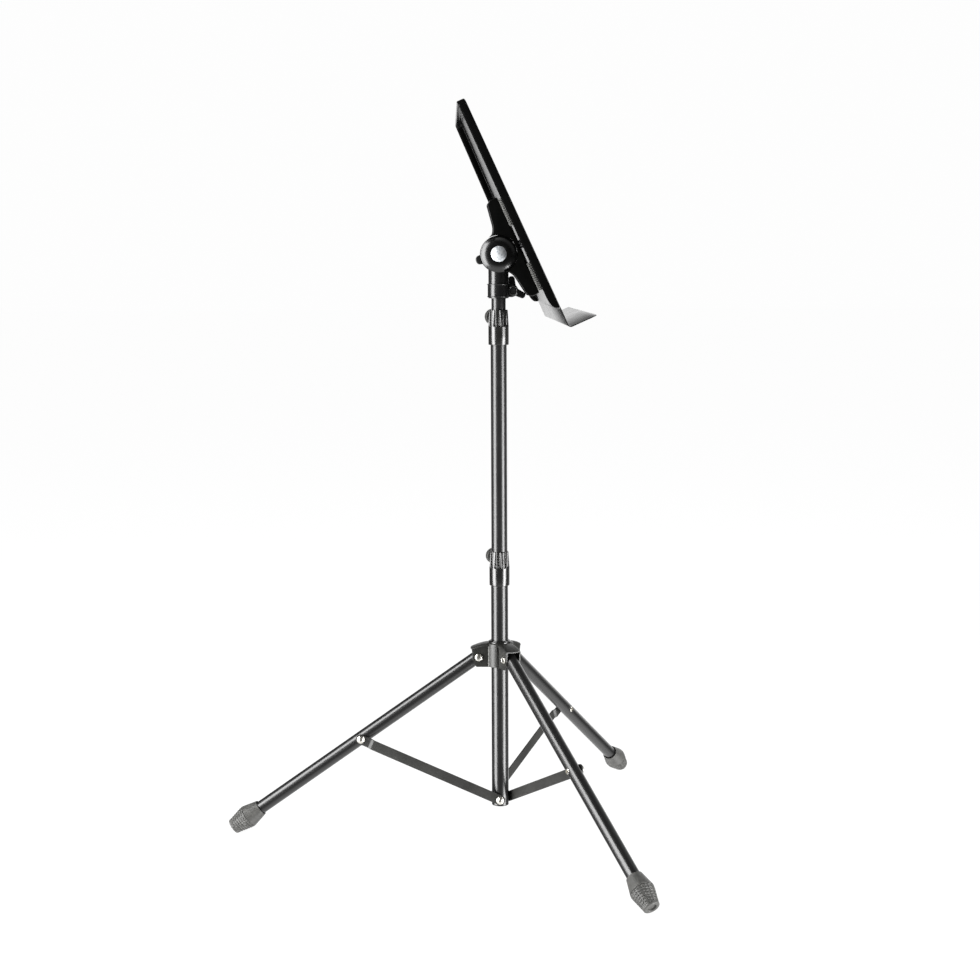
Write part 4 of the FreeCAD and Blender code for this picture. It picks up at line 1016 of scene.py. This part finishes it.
def place_floor():
    """A pale floor that stays out of reflections, so that they show the lights alone."""
    reach = 40
    corners = [(-reach, -reach, 0), (reach, -reach, 0), (reach, reach, 0), (-reach, reach, 0)]
    mesh = bpy.data.meshes.new("floor")
    mesh.from_pydata(corners, [], [(0, 1, 2, 3)])
    floor = bpy.data.objects.new("floor", mesh)
    bpy.context.scene.collection.objects.link(floor)
    material, _, surface, _ = shader("floor_white")
    surface.inputs["Base Color"].default_value = (0.12, 0.12, 0.12, 1)
    surface.inputs["Roughness"].default_value = 0.9
    surface.inputs["Specular IOR Level"].default_value = 0
    surface.inputs["Emission Color"].default_value = (1, 1, 1, 1)
    surface.inputs["Emission Strength"].default_value = 0.965
    paint(floor, material)
    floor.visible_glossy = False
    floor.visible_diffuse = False
    floor.visible_shadow = False


def softbox(name, azimuth, height, distance, size, power, aim_height):
    """An area light. Azimuth 0 is behind the camera, and turns to the camera's left."""
    light = bpy.data.lights.new(name, "AREA")
    light.shape = "RECTANGLE"
    light.size, light.size_y = size
    light.energy = power
    lamp = bpy.data.objects.new(name, light)
    turned = math.radians(azimuth)
    lamp.location = (-distance * math.cos(turned), distance * math.sin(turned), height)
    towards = Vector((0, 0, aim_height)) - lamp.location
    lamp.rotation_mode = "QUATERNION"
    lamp.rotation_quaternion = towards.to_track_quat("-Z", "Y")
    bpy.context.scene.collection.objects.link(lamp)


def calculate(tree, operation, *inputs):
    """A Math node's result, from sockets and numbers."""
    node = tree.nodes.new("ShaderNodeMath")
    node.operation = operation
    for socket, given in zip(node.inputs, inputs):
        if isinstance(given, bpy.types.NodeSocket):
            tree.links.new(given, socket)
        else:
            socket.default_value = given
    return node.outputs["Value"]


def light_room():
    """White to the camera, dim to the object, with a bright floor under it and a bright sweep
    behind it, which fades to the camera's left and upwards."""
    world = bpy.data.worlds.new("room")
    bpy.context.scene.world = world
    world.use_nodes = True
    tree = world.node_tree
    tree.nodes.clear()
    way = tree.nodes.new("ShaderNodeTexCoord").outputs["Generated"]
    split = tree.nodes.new("ShaderNodeSeparateXYZ")
    tree.links.new(way, split.inputs["Vector"])
    behind = spread(tree, split.outputs["X"], 0, 1, 0.55, 0.95)
    leftwards = calculate(tree, "MULTIPLY_ADD", split.outputs["Z"], 0.4, split.outputs["Y"])
    rightwards = spread(tree, leftwards, 1, 0, 0.05, 0.35)
    sweep = spread(tree, calculate(tree, "MULTIPLY", behind, rightwards), ROOM, SWEEP, 0, 1)
    below = spread(tree, split.outputs["Z"], FLOOR_LIGHT, 0, -0.80, -0.40)
    level = calculate(tree, "MAXIMUM", sweep, below)
    seen = tree.nodes.new("ShaderNodeLightPath").outputs["Is Camera Ray"]
    dim = tree.nodes.new("ShaderNodeBackground")
    tree.links.new(level, dim.inputs["Strength"])
    white = tree.nodes.new("ShaderNodeBackground")
    white.inputs["Strength"].default_value = 0.985
    white.inputs["Color"].default_value = (1, 1, 1, 1)
    mix = tree.nodes.new("ShaderNodeMixShader")
    tree.links.new(seen, mix.inputs[0])
    tree.links.new(dim.outputs[0], mix.inputs[1])
    tree.links.new(white.outputs[0], mix.inputs[2])
    out = tree.nodes.new("ShaderNodeOutputWorld")
    tree.links.new(mix.outputs[0], out.inputs["Surface"])
    softbox("left_strip", azimuth=65, height=0.9, distance=2.4, size=(1.5, 4.4), power=215,
            aim_height=0.9)
    softbox("right_strip", azimuth=-59, height=-0.80, distance=2.4, size=(1.2, 3.0), power=140,
            aim_height=-0.80)
    softbox("front_panel", azimuth=-86, height=2.1, distance=2.6, size=(1.2, 1.2), power=36,
            aim_height=1.0)


def place_camera():
    """Level with the head and square to the desk's side, turned a little down."""
    distance, height = 2.67995, 0.854589
    turn, yaw, pitch, roll = 0.0293026, 0.005177, 0.120312, -0.0042786
    spot = Vector((-distance * math.cos(turn), distance * math.sin(turn), height))
    heading = math.atan2(-spot.y, -spot.x) + yaw
    forward = Vector((math.cos(heading) * math.cos(pitch), math.sin(heading) * math.cos(pitch),
                      -math.sin(pitch)))
    right = forward.cross(UP).normalized()
    up = right.cross(forward)
    tilted_right = right * math.cos(roll) + up * math.sin(roll)
    tilted_up = up * math.cos(roll) - right * math.sin(roll)
    data = bpy.data.cameras.new("camera")
    data.sensor_width = 36
    data.lens = 65.94
    camera = bpy.data.objects.new("camera", data)
    turned = Matrix((tilted_right, tilted_up, -forward)).transposed()
    camera.matrix_world = Matrix.Translation(spot) @ turned.to_4x4()
    bpy.context.scene.collection.objects.link(camera)
    bpy.context.scene.camera = camera


# ---------------------------------------------------------------- the stand

for part in frame["record"]["subparts"]:
    paint(frame["nodes"][part["node"]], finishes[part["material_slot"]])
paint(frame["nodes"]["neck_clamp_bolt"], finishes["screw_black"])
clutch_sleeve("lower_clutch_sleeve", "base", "lower_knob_turn", seat=12.92, guide=12.18)
clutch_sleeve("upper_clutch_sleeve", "middle_column", "upper_knob_turn", seat=12.12, guide=10.68)
round_knob("lower_clutch_knob", "lower_knob", "lower_knob_turn", start=20.3)
round_knob("upper_clutch_knob", "upper_knob", "upper_knob_turn", start=20.3)
round_knob("hub_lock_knob", "hub_knob", "hub_knob_turn", start=25.8)
hub()
for side in SIDES:
    foot(side)
    brace(side)
hub_ring()
pivot_rivets()
star_knob("neck_clamp_knob", "head_knob", "head_knob_turn", 4, reach=21, tip=4.4, root=6.6,
          hub_radius=7.5, collar_radius=4, start=4.5, waist=10.5, arm=20.8, end=28.5, hole=2.58)
star_knob("tilt_knob", "tilt_knob", "tilt_knob_turn", 107, reach=34, tip=6, root=11,
          hub_radius=11, collar_radius=9, start=23.9, waist=26, arm=28, end=40, hole=4.08)
neck_clamp()
bracket()
mounting_plate("upper_mounting_plate", 1)
mounting_plate("lower_mounting_plate", -1)
desk()
desk_screws()

place_floor()
light_room()
place_camera()
bpy.context.scene.view_settings.view_transform = "Standard"
